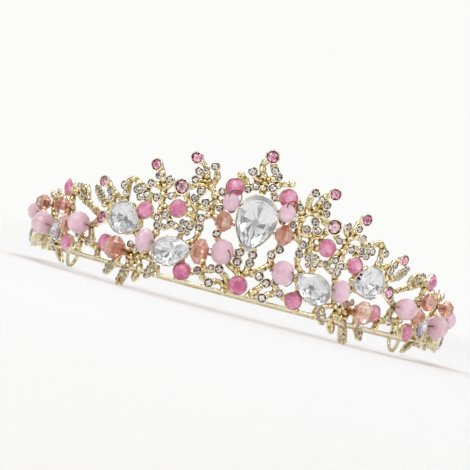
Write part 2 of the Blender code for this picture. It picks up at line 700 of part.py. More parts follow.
def make_base_wire(finish):
    """The band that sits on the hair. It ends half way through each binding."""
    mesh = bmesh.new()
    end = BINDING_MIDDLE - half_gap()
    bent_wire(mesh, -end, end)
    finish_mesh(mesh)
    return make_object("base_wire", mesh, finish, smooth_angle=65)


def make_end_loop(side, finish):
    """An upright loop of wire for a ribbon or a hair grip, soldered to its stem."""
    mesh = bmesh.new()
    middle_height = -WIRE_HEIGHT + LOOP_HEIGHT / 2 - LOOP_SINK
    frame = facing_out(LOOP_ANGLE * side, middle_height, WIRE_RING_RADIUS, LOOP_LEAN * side)
    wire = round_outline(WIRE_RADIUS, 6, start=0.25)
    rings = []
    for k in range(LOOP_BENDS):
        t = 2 * math.pi * (k + 0.5) / LOOP_BENDS
        spoke = Vector((math.cos(t), math.sin(t), 0))
        along_reach = spoke.x * (LOOP_LENGTH / 2 - WIRE_RADIUS)
        upright_reach = spoke.y * (LOOP_HEIGHT / 2 - WIRE_RADIUS)
        here = Vector((along_reach, upright_reach, 0))
        rings.append([frame @ (here + spoke * a + Vector((0, 0, b))) for a, b in wire])
    loft_loop(mesh, rings)
    flatten_foot(mesh)
    finish_mesh(mesh)
    loop = make_object(f"end_loop_{side_name(side)}", mesh, finish, smooth_angle=65)
    stem_mesh = bmesh.new()
    bent_wire(stem_mesh, side * (BINDING_MIDDLE + half_gap()), side * STEM_END)
    finish_mesh(stem_mesh)
    stem = make_object(f"stem_{side_name(side)}", stem_mesh, finish)
    combine(loop, stem, "UNION")
    return loop


def make_binding(side, finish):
    """The binding as a sleeve with a rib for each turn of its wire."""
    stations = 2 * BINDING_TURNS
    profile = []
    for k in range(stations + 1):
        radius = BINDING_RADIUS - (BINDING_GROOVE if k % 2 == 0 else 0)
        profile.append((k / stations, radius))
    profile.append((1.0, BINDING_BORE))
    profile.append((0.0, BINDING_BORE))
    rings = []
    for share, radius in profile:
        angle = side * (BINDING_START + (BINDING_END - BINDING_START) * share)
        centre = on_crown(angle, wire_height(angle), WIRE_RING_RADIUS)
        rings.append(section(centre, along(angle), outward(angle), radius, radius, 8, 0.5))
    mesh = bmesh.new()
    loft_loop(mesh, rings)
    finish_mesh(mesh)
    return make_object(f"wire_binding_{side_name(side)}", mesh, finish, smooth_angle=50)


def main():
    clear_scene()
    gold = material("gold_plate", (0.83, 0.66, 0.32), 1.0, 0.25)
    copper = material("copper_wire", (0.45, 0.24, 0.1), 1.0, 0.4)
    crystal = material("clear_crystal", (0.9, 0.91, 0.93), 0.6, 0.08)
    rose = material("rose_glass", (0.68, 0.14, 0.34), 0.0, 0.2)
    pale = material("pale_pink_glass", (0.79, 0.5, 0.6), 0.0, 0.3)
    peach = material("peach_crystal", (0.86, 0.42, 0.3), 0.0, 0.1)
    make_base_wire(gold)
    make_spray(gold)
    for side in (-1, 1):
        make_end_loop(side, gold)
        make_binding(side, copper)
    for cut in both_sides([CENTRE_CUT], SIDE_CUTS):
        cut_stone(cut, crystal)
    for dome in both_sides(CENTRE_DOMES, SIDE_DOMES):
        dome_stone(dome, rose)
    for bead in both_sides(CENTRE_PALE, SIDE_PALE):
        faceted_bead(bead, pale)
    for bead in both_sides(CENTRE_PEACH, SIDE_PEACH):
        faceted_bead(bead, peach)


main()
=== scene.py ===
"""Looks of a bridal tiara: cast gold-plated sprays on a wire band, with glass stones and beads.

Sizes are in millimetres and degrees until a mesh is finished, and metres after that. A place on
the crown is an angle round it, from the middle of the front and positive to the wearer's left,
and a height above the base wire. Left and right in names are as seen from the front.
"""

import math
import random
from collections import namedtuple

import bmesh
import bpy
from mathutils import Matrix, Vector


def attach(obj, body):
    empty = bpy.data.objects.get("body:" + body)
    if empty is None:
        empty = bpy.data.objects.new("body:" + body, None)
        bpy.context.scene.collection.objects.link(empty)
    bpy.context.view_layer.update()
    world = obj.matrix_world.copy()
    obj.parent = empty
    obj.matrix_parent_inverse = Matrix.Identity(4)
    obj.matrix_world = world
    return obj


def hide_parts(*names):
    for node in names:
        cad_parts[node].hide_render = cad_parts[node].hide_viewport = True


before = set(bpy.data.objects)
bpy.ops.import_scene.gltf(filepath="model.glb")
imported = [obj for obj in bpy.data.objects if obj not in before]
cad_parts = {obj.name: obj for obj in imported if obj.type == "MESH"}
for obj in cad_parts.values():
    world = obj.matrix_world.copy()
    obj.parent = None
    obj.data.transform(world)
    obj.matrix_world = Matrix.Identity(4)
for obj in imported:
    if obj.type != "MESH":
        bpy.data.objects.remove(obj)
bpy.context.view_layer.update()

MM = 0.001

# The crown's own measures
AXIS_Y = 21.3
WIRE_RING_RADIUS = 69.6
WIRE_HEIGHT = 7.0
WIRE_DROP = 0.7
WIRE_RADIUS = 0.65
END_DIP = 1.3
END_DIP_START = 96.0
SPRAY_RADIUS = 71.1
RAIL_RADIUS = 0.66
RAIL_END_ANGLE = 103.0
STONE_BACK = 72.05
LOOP_ANGLE = 119.3
LOOP_LENGTH = 7.8
LOOP_HEIGHT = 9.8
LOOP_LEAN = -6.0
LOOP_SINK = 0.22  # the part of its height that is filed off at the floor
LOOP_FLARE = 0.13  # share by which it is broader at its top and narrower at its foot
STEM_END = 116.4
BINDING_START = 103.9
BINDING_END = 109.6
BINDING_MIDDLE = (BINDING_START + BINDING_END) / 2
WIRE_GAP = 0.2  # degrees between band and stem, under the binding
COIL_RADIUS = 1.25
COPPER_RADIUS = 0.36
THREAD_RADIUS = 0.19
CHATON_BACK = 71.45
RUBY_BACK = 71.6
ROSE_BACK = 71.4

# The casting
TWIG_RADIUS = 1.06
KNOB_RADIUS = 1.34
KNOB_SPACING = 2.5
PAVE_RADIUS = 0.74
PAVE_SPACING = 1.5
LEAF_SPREAD = 1.2  # the paved leaves are that much wider than the table says
LEAF_BACK = -0.55
ROSETTE_ANGLE = 31.5
ROSETTE_HEIGHT = 3.6
PETALS = 6
PETAL_REACH = 1.9
PETAL_RADIUS = 1.15
HEART_RADIUS = 1.5
BEAD_SEAT = 1.15
SKIN_DEPTH = 0.34
SKIN_GRAIN = 1.5
CASTING_GRAIN = 0.24  # the voxel that melts the twigs, knobs and leaves into one skin
CASTING_KEPT = 0.62  # share of its faces kept after that

# The stones
LARGE_CUT = 13  # a cut stone longer than this has a gallery ring and more facets
RIM_SIDES = 48
CLAWS = 6

Cut = namedtuple("Cut", "name outline angle height length width turn crown depth")
Dome = namedtuple("Dome", "name angle height radius rise")
Bead = namedtuple("Bead", "name angle height radius half_width lift")
Chaton = namedtuple("Chaton", "angle height radius")
Leaf = namedtuple("Leaf", "base tip width paved")

# Clear foil-backed stones. Before its turn an oval's length lies along the crown, and a pear's
# hangs down it to the point.
CENTRE_CUT = Cut("centre_pear", "pear", 0.3, 25.1, 19.4, 13.8, -3.5, 2.6, 2.6)
SIDE_CUTS = [
    Cut("clear_side_pear", "pear", 19.4, 9.0, 14.0, 10.0, -112, 2.1, 2.3),
    Cut("clear_pear", "pear", 35.3, 15.4, 13.2, 11.2, -75, 2.1, 2.3),
    Cut("clear_cushion", "oval", 61.9, 5.2, 8.2, 7.8, -30, 1.7, 1.9),
    Cut("clear_drop", "pear", 80.2, 6.6, 12.0, 8.6, -90, 1.8, 2.0),
    Cut("clear_end_oval", "oval", 99.0, 2.2, 8.2, 9.8, 0, 1.8, 3.6),
]
CENTRE_DOMES = [
    Dome("rose_dome_centre", 0.0, 3.4, 3.25, 2.6),
    Dome("rose_dome_top_left", -7.3, 35.2, 3.2, 1.7),
    Dome("rose_dome_top_right", 7.2, 36.1, 3.2, 1.7),
]
SIDE_DOMES = [
    Dome("rose_dome_a", 21.0, 23.3, 3.15, 2.5),
    Dome("rose_dome_b", 30.5, 19.9, 3.05, 2.5),
    Dome("rose_dome_c", 15.5, 3.2, 3.15, 2.5),
    Dome("rose_dome_d", 40.7, 5.8, 3.05, 1.9),
    Dome("rose_dome_e", 56.4, 2.2, 3.1, 2.4),
    Dome("rose_dome_f", 63.7, 21.0, 3.1, 2.0),
]
CENTRE_PALE = [
    Bead("pale_bead_top_left", -6.9, 29.9, 3.1, 2.7, 1.9),
    Bead("pale_bead_top_right", 7.4, 31.1, 3.1, 2.7, 1.9),
    Bead("pale_bead_low_left", -5.9, 13.0, 4.3, 3.6, 0.0),
    Bead("pale_bead_low_right", 10.3, 11.4, 4.2, 3.5, 0.0),
]
SIDE_PALE = [
    Bead("pale_bead_a", 26.9, 10.2, 4.0, 2.7, 0.0),
    Bead("pale_bead_b", 50.1, 10.0, 3.8, 3.8, 0.0),
    Bead("pale_bead_c", 69.2, 6.4, 4.1, 3.7, 0.0),
    Bead("pale_bead_d", 91.6, 9.6, 3.5, 3.2, 0.0),
    Bead("pale_bead_e", 107.6, 2.2, 3.1, 2.8, 1.2),
]
CENTRE_PEACH = [
    Bead("peach_bead_top_left", -7.6, 23.0, 3.4, 3.1, 0.0),
    Bead("peach_bead_top_right", 8.2, 23.7, 3.5, 3.1, 0.0),
    Bead("peach_bead_low_left", -11.5, 11.2, 4.4, 3.0, 0.0),
]
SIDE_PEACH = [
    Bead("peach_bead_a", 35.0, 5.1, 4.0, 3.6, 0.3),
    Bead("peach_bead_b", 56.8, 8.6, 2.9, 2.9, 0.0),
    Bead("peach_bead_c", 61.0, 14.1, 3.0, 3.2, 0.0),
    Bead("peach_bead_d", 76.6, 13.4, 2.8, 2.6, 0.4),
]

# Small stones in cups: rubies, most of them at the tips, a larger rose one, and the clear ones
CENTRE_RUBIES = [Chaton(0.3, 48.2, 2.35)]
SIDE_RUBIES = [
    Chaton(19.3, 41.6, 2.15),
    Chaton(30.3, 35.9, 2.1),
    Chaton(43.9, 13.8, 2.3),
    Chaton(47.0, 26.0, 1.95),
    Chaton(71.4, 18.0, 1.45),
    Chaton(79.6, 17.2, 1.45),
]
SIDE_ROSES = [Chaton(21.2, 30.8, 2.8)]
CENTRE_CHATONS = [
    Chaton(-3.8, 41.7, 1.6),
    Chaton(1.9, 43.9, 1.5),
    Chaton(3.2, 42.2, 1.45),
    Chaton(-2.0, 37.2, 1.4),
    Chaton(-3.8, 35.6, 1.35),
    Chaton(2.4, 38.0, 1.6),
    Chaton(3.6, 35.2, 1.25),
    Chaton(-10.3, 32.6, 1.45),
    Chaton(10.9, 34.2, 1.45),
    Chaton(-9.9, 27.0, 1.35),
    Chaton(10.3, 28.0, 1.35),
    Chaton(-9.0, 18.4, 1.5),
    Chaton(8.3, 18.6, 1.55),
    Chaton(6.6, 16.2, 1.55),
    Chaton(-1.7, 14.3, 1.65),
    Chaton(-1.7, 11.1, 1.65),
    Chaton(1.7, 14.7, 1.65),
    Chaton(1.7, 11.6, 1.6),
    Chaton(-6.0, 7.1, 1.6),
    Chaton(-7.7, 1.8, 1.65),
    Chaton(-11.4, 4.6, 1.55),
    Chaton(4.9, 8.2, 1.65),
    Chaton(7.3, 6.5, 1.65),
    Chaton(7.2, 1.3, 1.65),
    Chaton(11.5, 4.4, 1.5),
    Chaton(-6.7, 27.7, 1.3),
    Chaton(7.3, 28.2, 1.35),
    Chaton(-8.1, 6.8, 1.2),
    Chaton(9.8, 7.6, 1.3),
]
SIDE_CHATONS = [
    Chaton(14.0, 40.2, 1.55),
    Chaton(17.9, 37.3, 1.55),
    Chaton(18.4, 34.3, 1.45),
    Chaton(16.0, 30.9, 1.55),
    Chaton(17.2, 28.2, 1.55),
    Chaton(14.1, 27.6, 1.55),
    Chaton(14.2, 22.2, 1.55),
    Chaton(14.0, 18.8, 1.55),
    Chaton(25.5, 32.1, 1.45),
    Chaton(29.1, 32.4, 1.35),
    Chaton(30.9, 29.4, 1.45),
    Chaton(33.0, 27.4, 1.45),
    Chaton(34.9, 26.0, 1.45),
    Chaton(31.4, 25.2, 1.45),
    Chaton(33.3, 23.9, 1.45),
    Chaton(28.1, 25.0, 1.55),
    Chaton(24.1, 26.8, 1.35),
    Chaton(24.3, 20.0, 1.45),
    Chaton(26.4, 18.5, 1.45),
    Chaton(25.9, 16.0, 1.4),
    Chaton(18.6, 19.1, 1.45),
    Chaton(16.6, 18.4, 1.45),
    Chaton(18.8, 16.8, 1.4),
    Chaton(39.6, 26.5, 1.45),
    Chaton(44.2, 23.6, 1.4),
    Chaton(43.3, 21.3, 1.4),
    Chaton(46.2, 12.0, 1.2),
    Chaton(47.5, 4.5, 1.6),
    Chaton(53.0, 5.9, 1.2),
    Chaton(30.6, 6.6, 1.45),
    Chaton(16.2, 38.8, 1.1),
    Chaton(21.8, 17.8, 1.35),
    Chaton(23.9, 16.2, 1.2),
    Chaton(17.0, 16.0, 1.0),
    Chaton(32.6, 7.5, 1.2),
    Chaton(38.5, 24.0, 1.2),
]

# Wires over the front of a bead, from its middle: one hooks over near its edge, the other
# springs from its top and crosses the stone above it
HOOK_ROUTE = [
    (0.55, 0.28, 1.0),
    (0.82, 0.1, 0.92),
    (0.95, -0.25, 0.72),
    (0.92, -0.62, 0.45),
    (0.7, -0.95, 0.0),
    (0.6, -0.9, -0.8),
]
ARCH_ROUTE = [
    (-0.35, 0.62, 0.85),
    (-0.2, 1.12, 0.55),
    (0.35, 1.42, 0.3),
    (0.95, 1.2, 0.2),
    (1.15, 0.7, 0.0),
    (1.0, 0.2, -0.4),
]

# A leaf's outline: places along it, from -0.5 at the stem, and shares of its half width
PLAIN_STATIONS = [(-0.5, 0.34), (-0.3, 0.82), (-0.05, 1.0), (0.25, 0.86), (0.42, 0.5), (0.54, 0.06)]
PAVED_STATIONS = [(-0.5, 0.5), (-0.34, 0.86), (0.0, 1.0), (0.3, 0.9), (0.46, 0.62), (0.53, 0.3)]

# Leaf-shaped settings, from stem to tip, plain or paved with two rows of tiny stones
SIDE_LEAVES = [
    Leaf((23.4, 4.6), (25.9, -2.3), 3.0, True),
    Leaf((28.2, 0.2), (29.3, -4.6), 3.6, False),
    Leaf((31.6, 1.4), (33.7, -7.8), 3.6, True),
    Leaf((36.2, 1.2), (39.3, -4.3), 3.2, True),
    Leaf((45.6, 18.6), (50.9, 23.9), 3.0, True),
    Leaf((53.0, 18.4), (60.2, 22.9), 2.8, True),
    Leaf((67.0, 1.8), (58.6, -4.9), 4.2, False),
    Leaf((62.0, 3.4), (70.5, -2.0), 3.4, False),
    Leaf((69.0, 3.2), (77.5, -2.4), 4.0, False),
    Leaf((75.5, -0.6), (84.5, 3.6), 4.0, False),
    Leaf((82.0, 0.0), (90.5, 4.8), 4.2, False),
    Leaf((86.5, -1.2), (96.0, 2.8), 4.4, False),
    Leaf((91.0, 5.0), (100.0, 0.8), 4.4, False),
    Leaf((94.5, -1.4), (102.6, 2.4), 3.8, False),
]

# Twigs, each a short run of places (angle, height). The side ones are mirrored.
CENTRE_TWIGS = [
    [(0.3, 47.6), (-1.7, 44.6), (-0.9, 41.6), (0.0, 39.6), (0.0, 36.6), (0.3, 33.5)],
    [(0.3, 47.6), (1.8, 44.2), (3.0, 42.2), (1.6, 40.8), (0.0, 39.6)],
    [(-3.8, 41.7), (-2.6, 40.0), (0.0, 39.6)],
    [(7.4, 40.9), (4.0, 39.8), (2.4, 38.2), (0.0, 37.2)],
    [(-7.0, 39.6), (-5.3, 38.6), (-3.9, 36.2), (-2.0, 37.2), (0.0, 37.2)],
    [(-3.9, 36.2), (-7.3, 35.2), (-10.3, 32.6), (-12.2, 30.6)],
    [(2.4, 38.2), (3.8, 35.4), (7.3, 35.8), (10.9, 34.2), (12.2, 30.6)],
    [(-10.3, 32.6), (-7.4, 30.3), (-3.6, 28.6)],
    [(10.9, 34.2), (7.9, 31.2), (4.2, 28.6)],
    [(-12.2, 30.6), (-9.9, 27.0), (-7.6, 23.0), (-9.0, 18.4), (-7.6, 15.4), (-5.9, 13.0)],
    [(12.2, 30.6), (10.3, 28.0), (8.3, 23.8), (8.3, 18.6), (6.6, 16.2), (7.4, 13.2), (10.3, 11.4)],
    [(-14.2, 22.2), (-11.4, 24.0), (-7.6, 23.0)],
    [(14.2, 22.2), (11.6, 24.2), (8.3, 23.8)],
    [(-1.5, 18.4), (-1.7, 14.3), (-1.7, 11.1), (-1.1, 8.2), (0.0, 5.2)],
    [(1.6, 18.4), (1.7, 14.7), (1.7, 11.6), (1.1, 8.2), (0.0, 5.2)],
    [(-5.9, 13.0), (-3.9, 9.4), (-1.1, 7.8)],
    [(7.4, 13.2), (3.0, 8.6), (1.1, 8.2)],
    [(-5.9, 13.0), (-6.0, 7.1), (-3.4, 4.6), (-2.6, 0.0)],
    [(0.0, 5.2), (0.0, 0.0)],
    [(-11.5, 11.2), (-9.4, 5.8), (-6.0, 7.1)],
    [(-15.2, 3.0), (-11.4, 4.6), (-9.4, 5.8)],
    [(-11.4, 4.6), (-7.7, 1.8), (-4.8, 3.0), (-3.2, 0.2)],
    [(-7.7, 1.8), (-8.4, 0.0)],
    [(10.3, 11.4), (9.7, 7.6), (11.5, 4.4), (15.2, 3.0)],
    [(9.7, 7.6), (7.3, 6.5), (4.9, 8.2), (3.0, 8.6)],
    [(7.3, 6.5), (5.6, 4.2), (4.4, 2.6), (3.0, 0.2)],
    [(11.5, 4.4), (9.0, 3.4), (7.2, 1.3), (4.4, 2.6)],
    [(7.2, 1.3), (7.9, 0.0)],
    [(-11.5, 11.2), (-14.8, 10.4)],
    [(10.3, 11.4), (15.0, 10.6)],
]
SIDE_TWIGS = [
    [(19.3, 41.6), (17.2, 39.6), (15.4, 35.2), (13.6, 33.2), (12.2, 30.6)],
    [(14.0, 40.2), (13.2, 37.6), (13.6, 33.2)],
    [(17.9, 37.3), (15.8, 36.4)],
    [(18.4, 34.3), (15.2, 34.8)],
    [(13.6, 33.2), (17.8, 33.0), (19.4, 31.4), (21.2, 30.8)],
    [(12.2, 30.6), (12.4, 26.6), (16.2, 25.8), (18.6, 26.2), (21.2, 30.8)],
    [(14.1, 27.6), (12.4, 27.2)],
    [(16.0, 30.9), (17.2, 28.2), (16.4, 25.8)],
    [(12.4, 26.6), (11.5, 24.1)],
    [(18.6, 26.2), (20.7, 23.1), (23.6, 22.6), (26.5, 23.4)],
    [(16.4, 25.8), (16.7, 22.2), (16.6, 18.4), (18.6, 19.1), (18.8, 16.8), (19.0, 12.4)],
    [(14.2, 22.2), (16.7, 22.2), (20.7, 23.1)],
    [(14.2, 22.2), (14.0, 18.8), (14.4, 15.4), (16.4, 12.6)],
    [(23.6, 22.6), (24.3, 20.0), (26.4, 18.5), (25.9, 16.0), (26.9, 10.2)],
    [(26.4, 18.5), (29.8, 19.5), (31.4, 25.2), (33.0, 27.4)],
    [(24.1, 26.8), (27.0, 26.6)],
    [(21.2, 30.8), (24.1, 26.8)],
    [(30.3, 35.9), (28.8, 33.2), (27.4, 29.4), (27.0, 26.6), (26.5, 23.4), (26.4, 18.5)],
    [(25.5, 32.1), (25.9, 30.2), (27.4, 28.6)],
    [(27.4, 28.6), (30.9, 29.4), (33.0, 27.4), (34.9, 28.2), (38.4, 29.2), (38.9, 26.2), (38.2, 19.6)],
    [(33.0, 27.4), (34.9, 26.0), (33.3, 23.9), (31.4, 25.2), (27.0, 25.6)],
    [(39.6, 26.5), (38.9, 26.2)],
    [(47.0, 26.0), (44.2, 23.6), (41.8, 22.6), (38.2, 20.4)],
    [(44.2, 23.6), (43.3, 21.3), (43.2, 17.4), (43.9, 13.8)],
    [(43.3, 21.3), (45.6, 18.6)],
    [(38.6, 15.0), (43.9, 13.8), (48.4, 15.2), (53.4, 17.6), (63.4, 20.6)],
    [(53.4, 17.6), (55.2, 21.6), (58.6, 22.0)],
    [(43.9, 13.8), (46.2, 12.0), (50.1, 10.0), (56.8, 8.6), (61.0, 14.1), (63.4, 20.9)],
    [(40.5, 5.2), (44.2, 3.8), (47.5, 4.5), (48.6, 8.0), (50.1, 10.0)],
    [(47.5, 4.5), (53.0, 5.9), (56.8, 8.6)],
    [(53.0, 5.9), (52.2, 3.0), (52.8, 0.0)],
    [(44.2, 3.8), (43.6, 0.0)],
    [(56.4, 0.0), (56.4, 2.2), (58.6, 2.6), (61.9, 5.2), (61.0, 14.1)],
    [(61.9, 5.2), (65.4, 2.2), (69.2, 6.4), (76.6, 13.4), (79.6, 17.2)],
    [(61.0, 14.1), (66.4, 15.0), (71.4, 18.0), (76.6, 13.4)],
    [(69.2, 6.4), (72.6, 2.6), (80.2, 6.6), (86.4, 7.4), (91.4, 9.6)],
    [(72.6, 2.6), (72.8, 0.0)],
    [(80.2, 6.6), (80.4, 0.0)],
    [(86.4, 7.4), (88.2, 3.2), (88.4, 0.0)],
    [(91.4, 9.6), (93.2, 4.6), (99.0, 2.2), (101.4, 0.2)],
    [(99.0, 2.6), (103.8, 3.0), (107.6, 3.0)],
    [(65.4, 2.2), (65.4, 0.0)],
    [(31.6, 3.4), (31.6, 0.2)],
    [(31.6, 3.4), (28.6, 1.8), (28.4, 0.0)],
    [(31.6, 3.4), (35.0, 4.4), (36.2, 0.4)],
    [(35.0, 4.4), (40.5, 5.2)],
    [(31.6, 3.4), (28.2, 5.0), (26.9, 10.2)],
    [(31.6, 3.4), (30.6, 6.6), (31.0, 10.4), (33.0, 13.2)],
    [(28.2, 5.0), (23.6, 4.6), (22.4, 6.6)],
    [(23.6, 4.6), (22.8, 0.0)],
    [(15.5, 3.2), (17.0, 0.0)],
    [(15.5, 3.2), (17.0, 7.4)],
    [(24.3, 20.0), (21.8, 17.8), (18.8, 16.8)],
    [(21.8, 17.8), (23.9, 16.2)],
]


# Places on the crown


def on_crown(angle, height, radius):
    turn = math.radians(angle)
    return Vector((math.sin(turn) * radius, AXIS_Y - math.cos(turn) * radius, height + WIRE_HEIGHT))


def outward(angle):
    return Vector((math.sin(math.radians(angle)), -math.cos(math.radians(angle)), 0))


def along(angle):
    return Vector((math.cos(math.radians(angle)), math.sin(math.radians(angle)), 0))


def facing_out(angle, height, radius, turn=0.0):
    """A frame at that place: x runs along the crown, y up it and z out of it, turned about z."""
    axes = Matrix((along(angle), Vector((0, 0, 1)), outward(angle))).transposed().to_4x4()
    place = Matrix.Translation(on_crown(angle, height, radius))
    return place @ axes @ Matrix.Rotation(math.radians(turn), 4, "Z")


def cut_frame(cut):
    """A cut stone's frame, its origin at the middle of the girdle."""
    return facing_out(cut.angle, cut.height, STONE_BACK + cut.depth, cut.turn)


def bead_frame(bead):
    """A bead's frame, its origin at the bead's middle."""
    return facing_out(bead.angle, bead.height, STONE_BACK + bead.lift + bead.radius)


def side_name(side):
    return "right" if side > 0 else "left"


def turned(points, side):
    return [(angle * side, height) for angle, height in points]


def mirrored(row, side):
    """The row on one side of the crown: as its table says on side 1, mirrored on side -1."""
    if isinstance(row, Leaf):
        base, tip = turned((row.base, row.tip), side)
        return row._replace(base=base, tip=tip)
    changes = {"angle": row.angle * side}
    if hasattr(row, "turn"):
        changes["turn"] = row.turn * side
    if hasattr(row, "name"):
        changes["name"] = f"{row.name}_{side_name(side)}"
    return row._replace(**changes)


def on_side(rows, side):
    return [mirrored(row, side) for row in rows]


def both_sides(centre_rows, side_rows):
    return list(centre_rows) + on_side(side_rows, -1) + on_side(side_rows, 1)


# Node trees


def linear(colour):
    """An sRGB hex colour as the linear one that a shader takes. A number is a linear grey."""
    if not isinstance(colour, str):
        return (colour, colour, colour, 1.0)
    parts = [int(colour[k : k + 2], 16) / 255 for k in (1, 3, 5)]
    curve = [p / 12.92 if p <= 0.04045 else ((p + 0.055) / 1.055) ** 2.4 for p in parts]
    return (*curve, 1.0)


def scale_of(size):
    """The scale that gives a pattern this many millimetres from one cloud or cell to the next."""
    return 1 / (size * MM)


def plug(tree, node, inputs):
    """Sets a node's inputs to values, or links them to sockets or other nodes' first outputs."""
    for name, value in inputs.items():
        if isinstance(value, bpy.types.Node):
            value = value.outputs[0]
        if isinstance(value, bpy.types.NodeSocket):
            tree.links.new(value, node.inputs[name])
        else:
            node.inputs[name].default_value = value


def add_node(tree, kind, inputs=None, stops=(), **settings):
    """One node with its settings and inputs, and with its stops where it is a colour ramp."""
    made = tree.nodes.new(kind)
    for name, value in settings.items():
        setattr(made, name, value)
    plug(tree, made, inputs or {})
    if stops:
        ramp = made.color_ramp.elements
        while len(ramp) < len(stops):
            ramp.new(0.5)
        for stop, (place, colour) in zip(ramp, stops):
            stop.position = place
            stop.color = linear(colour)
    return made


def new_material(name, **values):
    """A material, its tree, its Principled shader and the object's own coordinates."""
    made = bpy.data.materials.new(name)
    made.use_nodes = True
    tree = made.node_tree
    shader = tree.nodes["Principled BSDF"]
    plug(tree, shader, {key.replace("_", " "): value for key, value in values.items()})
    place = add_node(tree, "ShaderNodeTexCoord").outputs["Object"]
    return made, tree, shader, place


def gold_plating():
    """Cast brass under a thin pale gold plating, with painted ochre shade in its hollows and a painted
    highlight on its ridges.
    """
    made, tree, shader, place = new_material("cast_brass_gold_plated", Metallic=1.0)
    # the plating's cloudiness shows at about 1 mm, the casting's grain at 0.5 mm
    cloud = add_node(
        tree, "ShaderNodeTexNoise", {"Vector": place, "Scale": scale_of(1.0), "Detail": 2}
    )
    grain = add_node(
        tree, "ShaderNodeTexNoise", {"Vector": place, "Scale": scale_of(0.5), "Detail": 2}
    )
    # painted shade in the hollows and a painted highlight on the ridges, from how pointed the mesh is
    # there
    edge = add_node(tree, "ShaderNodeNewGeometry").outputs["Pointiness"]
    painted_shade_and_highlight = add_node(
        tree,
        "ShaderNodeMapRange",
        {"Value": edge, "From Min": 0.45, "From Max": 0.57, "To Min": -0.5, "To Max": 0.5},
    )
    # the plating's random cloud plus the painted shade and highlight picks the colour
    height = add_node(
        tree, "ShaderNodeMath", {0: cloud, 1: 1.1, 2: painted_shade_and_highlight}, operation="MULTIPLY_ADD"
    )
    colour = add_node(
        tree,
        "ShaderNodeValToRGB",
        {"Fac": height},
        [(0.17, "#3C230A"), (0.36, "#9A722E"), (0.55, "#E1CE93"), (0.85, "#FFF9E2")],
    )
    rough = add_node(tree, "ShaderNodeMapRange", {"Value": cloud, "To Min": 0.3, "To Max": 0.06})
    bump = add_node(
        tree, "ShaderNodeBump", {"Height": grain, "Strength": 0.45, "Distance": 0.18 * MM}
    )
    plug(tree, shader, {"Base Color": colour, "Roughness": rough, "Normal": bump})
    return made


def drawn_wire():
    """Drawn brass wire, plated: smoother and paler than the casting, a little uneven in gloss."""
    made, tree, shader, place = new_material("drawn_wire_gold_plated", Metallic=1.0)
    cloud = add_node(
        tree, "ShaderNodeTexNoise", {"Vector": place, "Scale": scale_of(6.25), "Detail": 3}
    )
    colour = add_node(
        tree, "ShaderNodeValToRGB", {"Fac": cloud}, [(0.3, "#C9BA84"), (0.7, "#EAE3C2")]
    )
    rough = add_node(tree, "ShaderNodeMapRange", {"Value": cloud, "To Min": 0.16, "To Max": 0.3})
    plug(tree, shader, {"Base Color": colour, "Roughness": rough})
    return made


def copper_wire():
    """Annealed copper wire, browned by handling."""
    made, tree, shader, place = new_material("annealed_copper_wire", Metallic=1.0, Roughness=0.34)
    cloud = add_node(
        tree, "ShaderNodeTexNoise", {"Vector": place, "Scale": scale_of(1.43), "Detail": 4}
    )
    colour = add_node(
        tree,
        "ShaderNodeValToRGB",
        {"Fac": cloud},
        [(0.3, "#4A2C16"), (0.5, "#8A5A2C"), (0.72, "#C08A50")],
    )
    plug(tree, shader, {"Base Color": colour})
    return made


def crystal_glass():
    """Clear lead-free crystal glass, pressed and fire polished."""
    return new_material(
        "pressed_crystal_glass", Transmission_Weight=1.0, Roughness=0.0, IOR=1.54
    )[0]


def silver_foil(name, dark, pale):
    """The mirror foil behind a glass stone. Each facet throws back its own share of the light.

    Its faint glow stands for the light that bounces about between glass and foil.
    """
    made, tree, shader, _ = new_material(
        name, Metallic=1.0, Roughness=0.04, Emission_Color=linear("#FFFFFF"), Emission_Strength=0.26
    )
    tone = add_node(tree, "ShaderNodeAttribute", attribute_name="tone")
    colour = add_node(
        tree,
        "ShaderNodeValToRGB",
        {"Fac": tone.outputs["Fac"]},
        [(0.0, dark), (0.3, pale), (0.6, "#FFFFFF")],
    )
    plug(tree, shader, {"Base Color": colour})
    return made


def foiled_chaton(name, dark, middle, pale):
    """A small foil-backed stone under the gloss of the glass, its bright and dark facets painted on as
    reflections and glints.
    """
    made, tree, shader, place = new_material(
        name, Metallic=0.55, Roughness=0.1, Coat_Weight=1.0, Coat_Roughness=0.02
    )
    tone = add_node(tree, "ShaderNodeAttribute", attribute_name="tone")
    # splinters of about 0.8 mm shift the painted glints, so that no two stones sparkle alike
    splinter = add_node(tree, "ShaderNodeTexVoronoi", {"Vector": place, "Scale": scale_of(0.8)})
    glint_shift = add_node(
        tree,
        "ShaderNodeMath",
        {0: splinter.outputs["Color"], 1: 0.7, 2: -0.3},
        operation="MULTIPLY_ADD",
    )
    mixed = add_node(tree, "ShaderNodeMath", {0: tone.outputs["Fac"], 1: glint_shift})
    colour = add_node(
        tree, "ShaderNodeValToRGB", {"Fac": mixed}, [(0.08, dark), (0.42, middle), (0.78, pale)]
    )
    plug(tree, shader, {"Base Color": colour})
    return made


def rose_glass():
    """Opaque rose glass, pressed in a mould and polished: milky clouds under a wet gloss."""
    made, tree, shader, place = new_material(
        "pressed_rose_glass",
        Roughness=0.16,
        IOR=1.52,
        Subsurface_Weight=0.25,
        Subsurface_Radius=(0.0016, 0.0007, 0.0009),
        Subsurface_Scale=1.0,
        Coat_Weight=0.4,
        Coat_Roughness=0.03,
    )
    cloud = add_node(
        tree, "ShaderNodeTexNoise", {"Vector": place, "Scale": scale_of(3.03), "Detail": 4}
    )
    tone = add_node(tree, "ShaderNodeAttribute", attribute_name="tone")
    mixed = add_node(
        tree,
        "ShaderNodeMath",
        {0: tone.outputs["Fac"], 1: 0.32, 2: cloud},
        operation="MULTIPLY_ADD",
    )
    colour = add_node(
        tree,
        "ShaderNodeValToRGB",
        {"Fac": mixed},
        [(0.44, "#CC6894"), (0.66, "#E98FB5"), (0.9, "#FACBDC")],
    )
    plug(tree, shader, {"Base Color": colour})
    return made


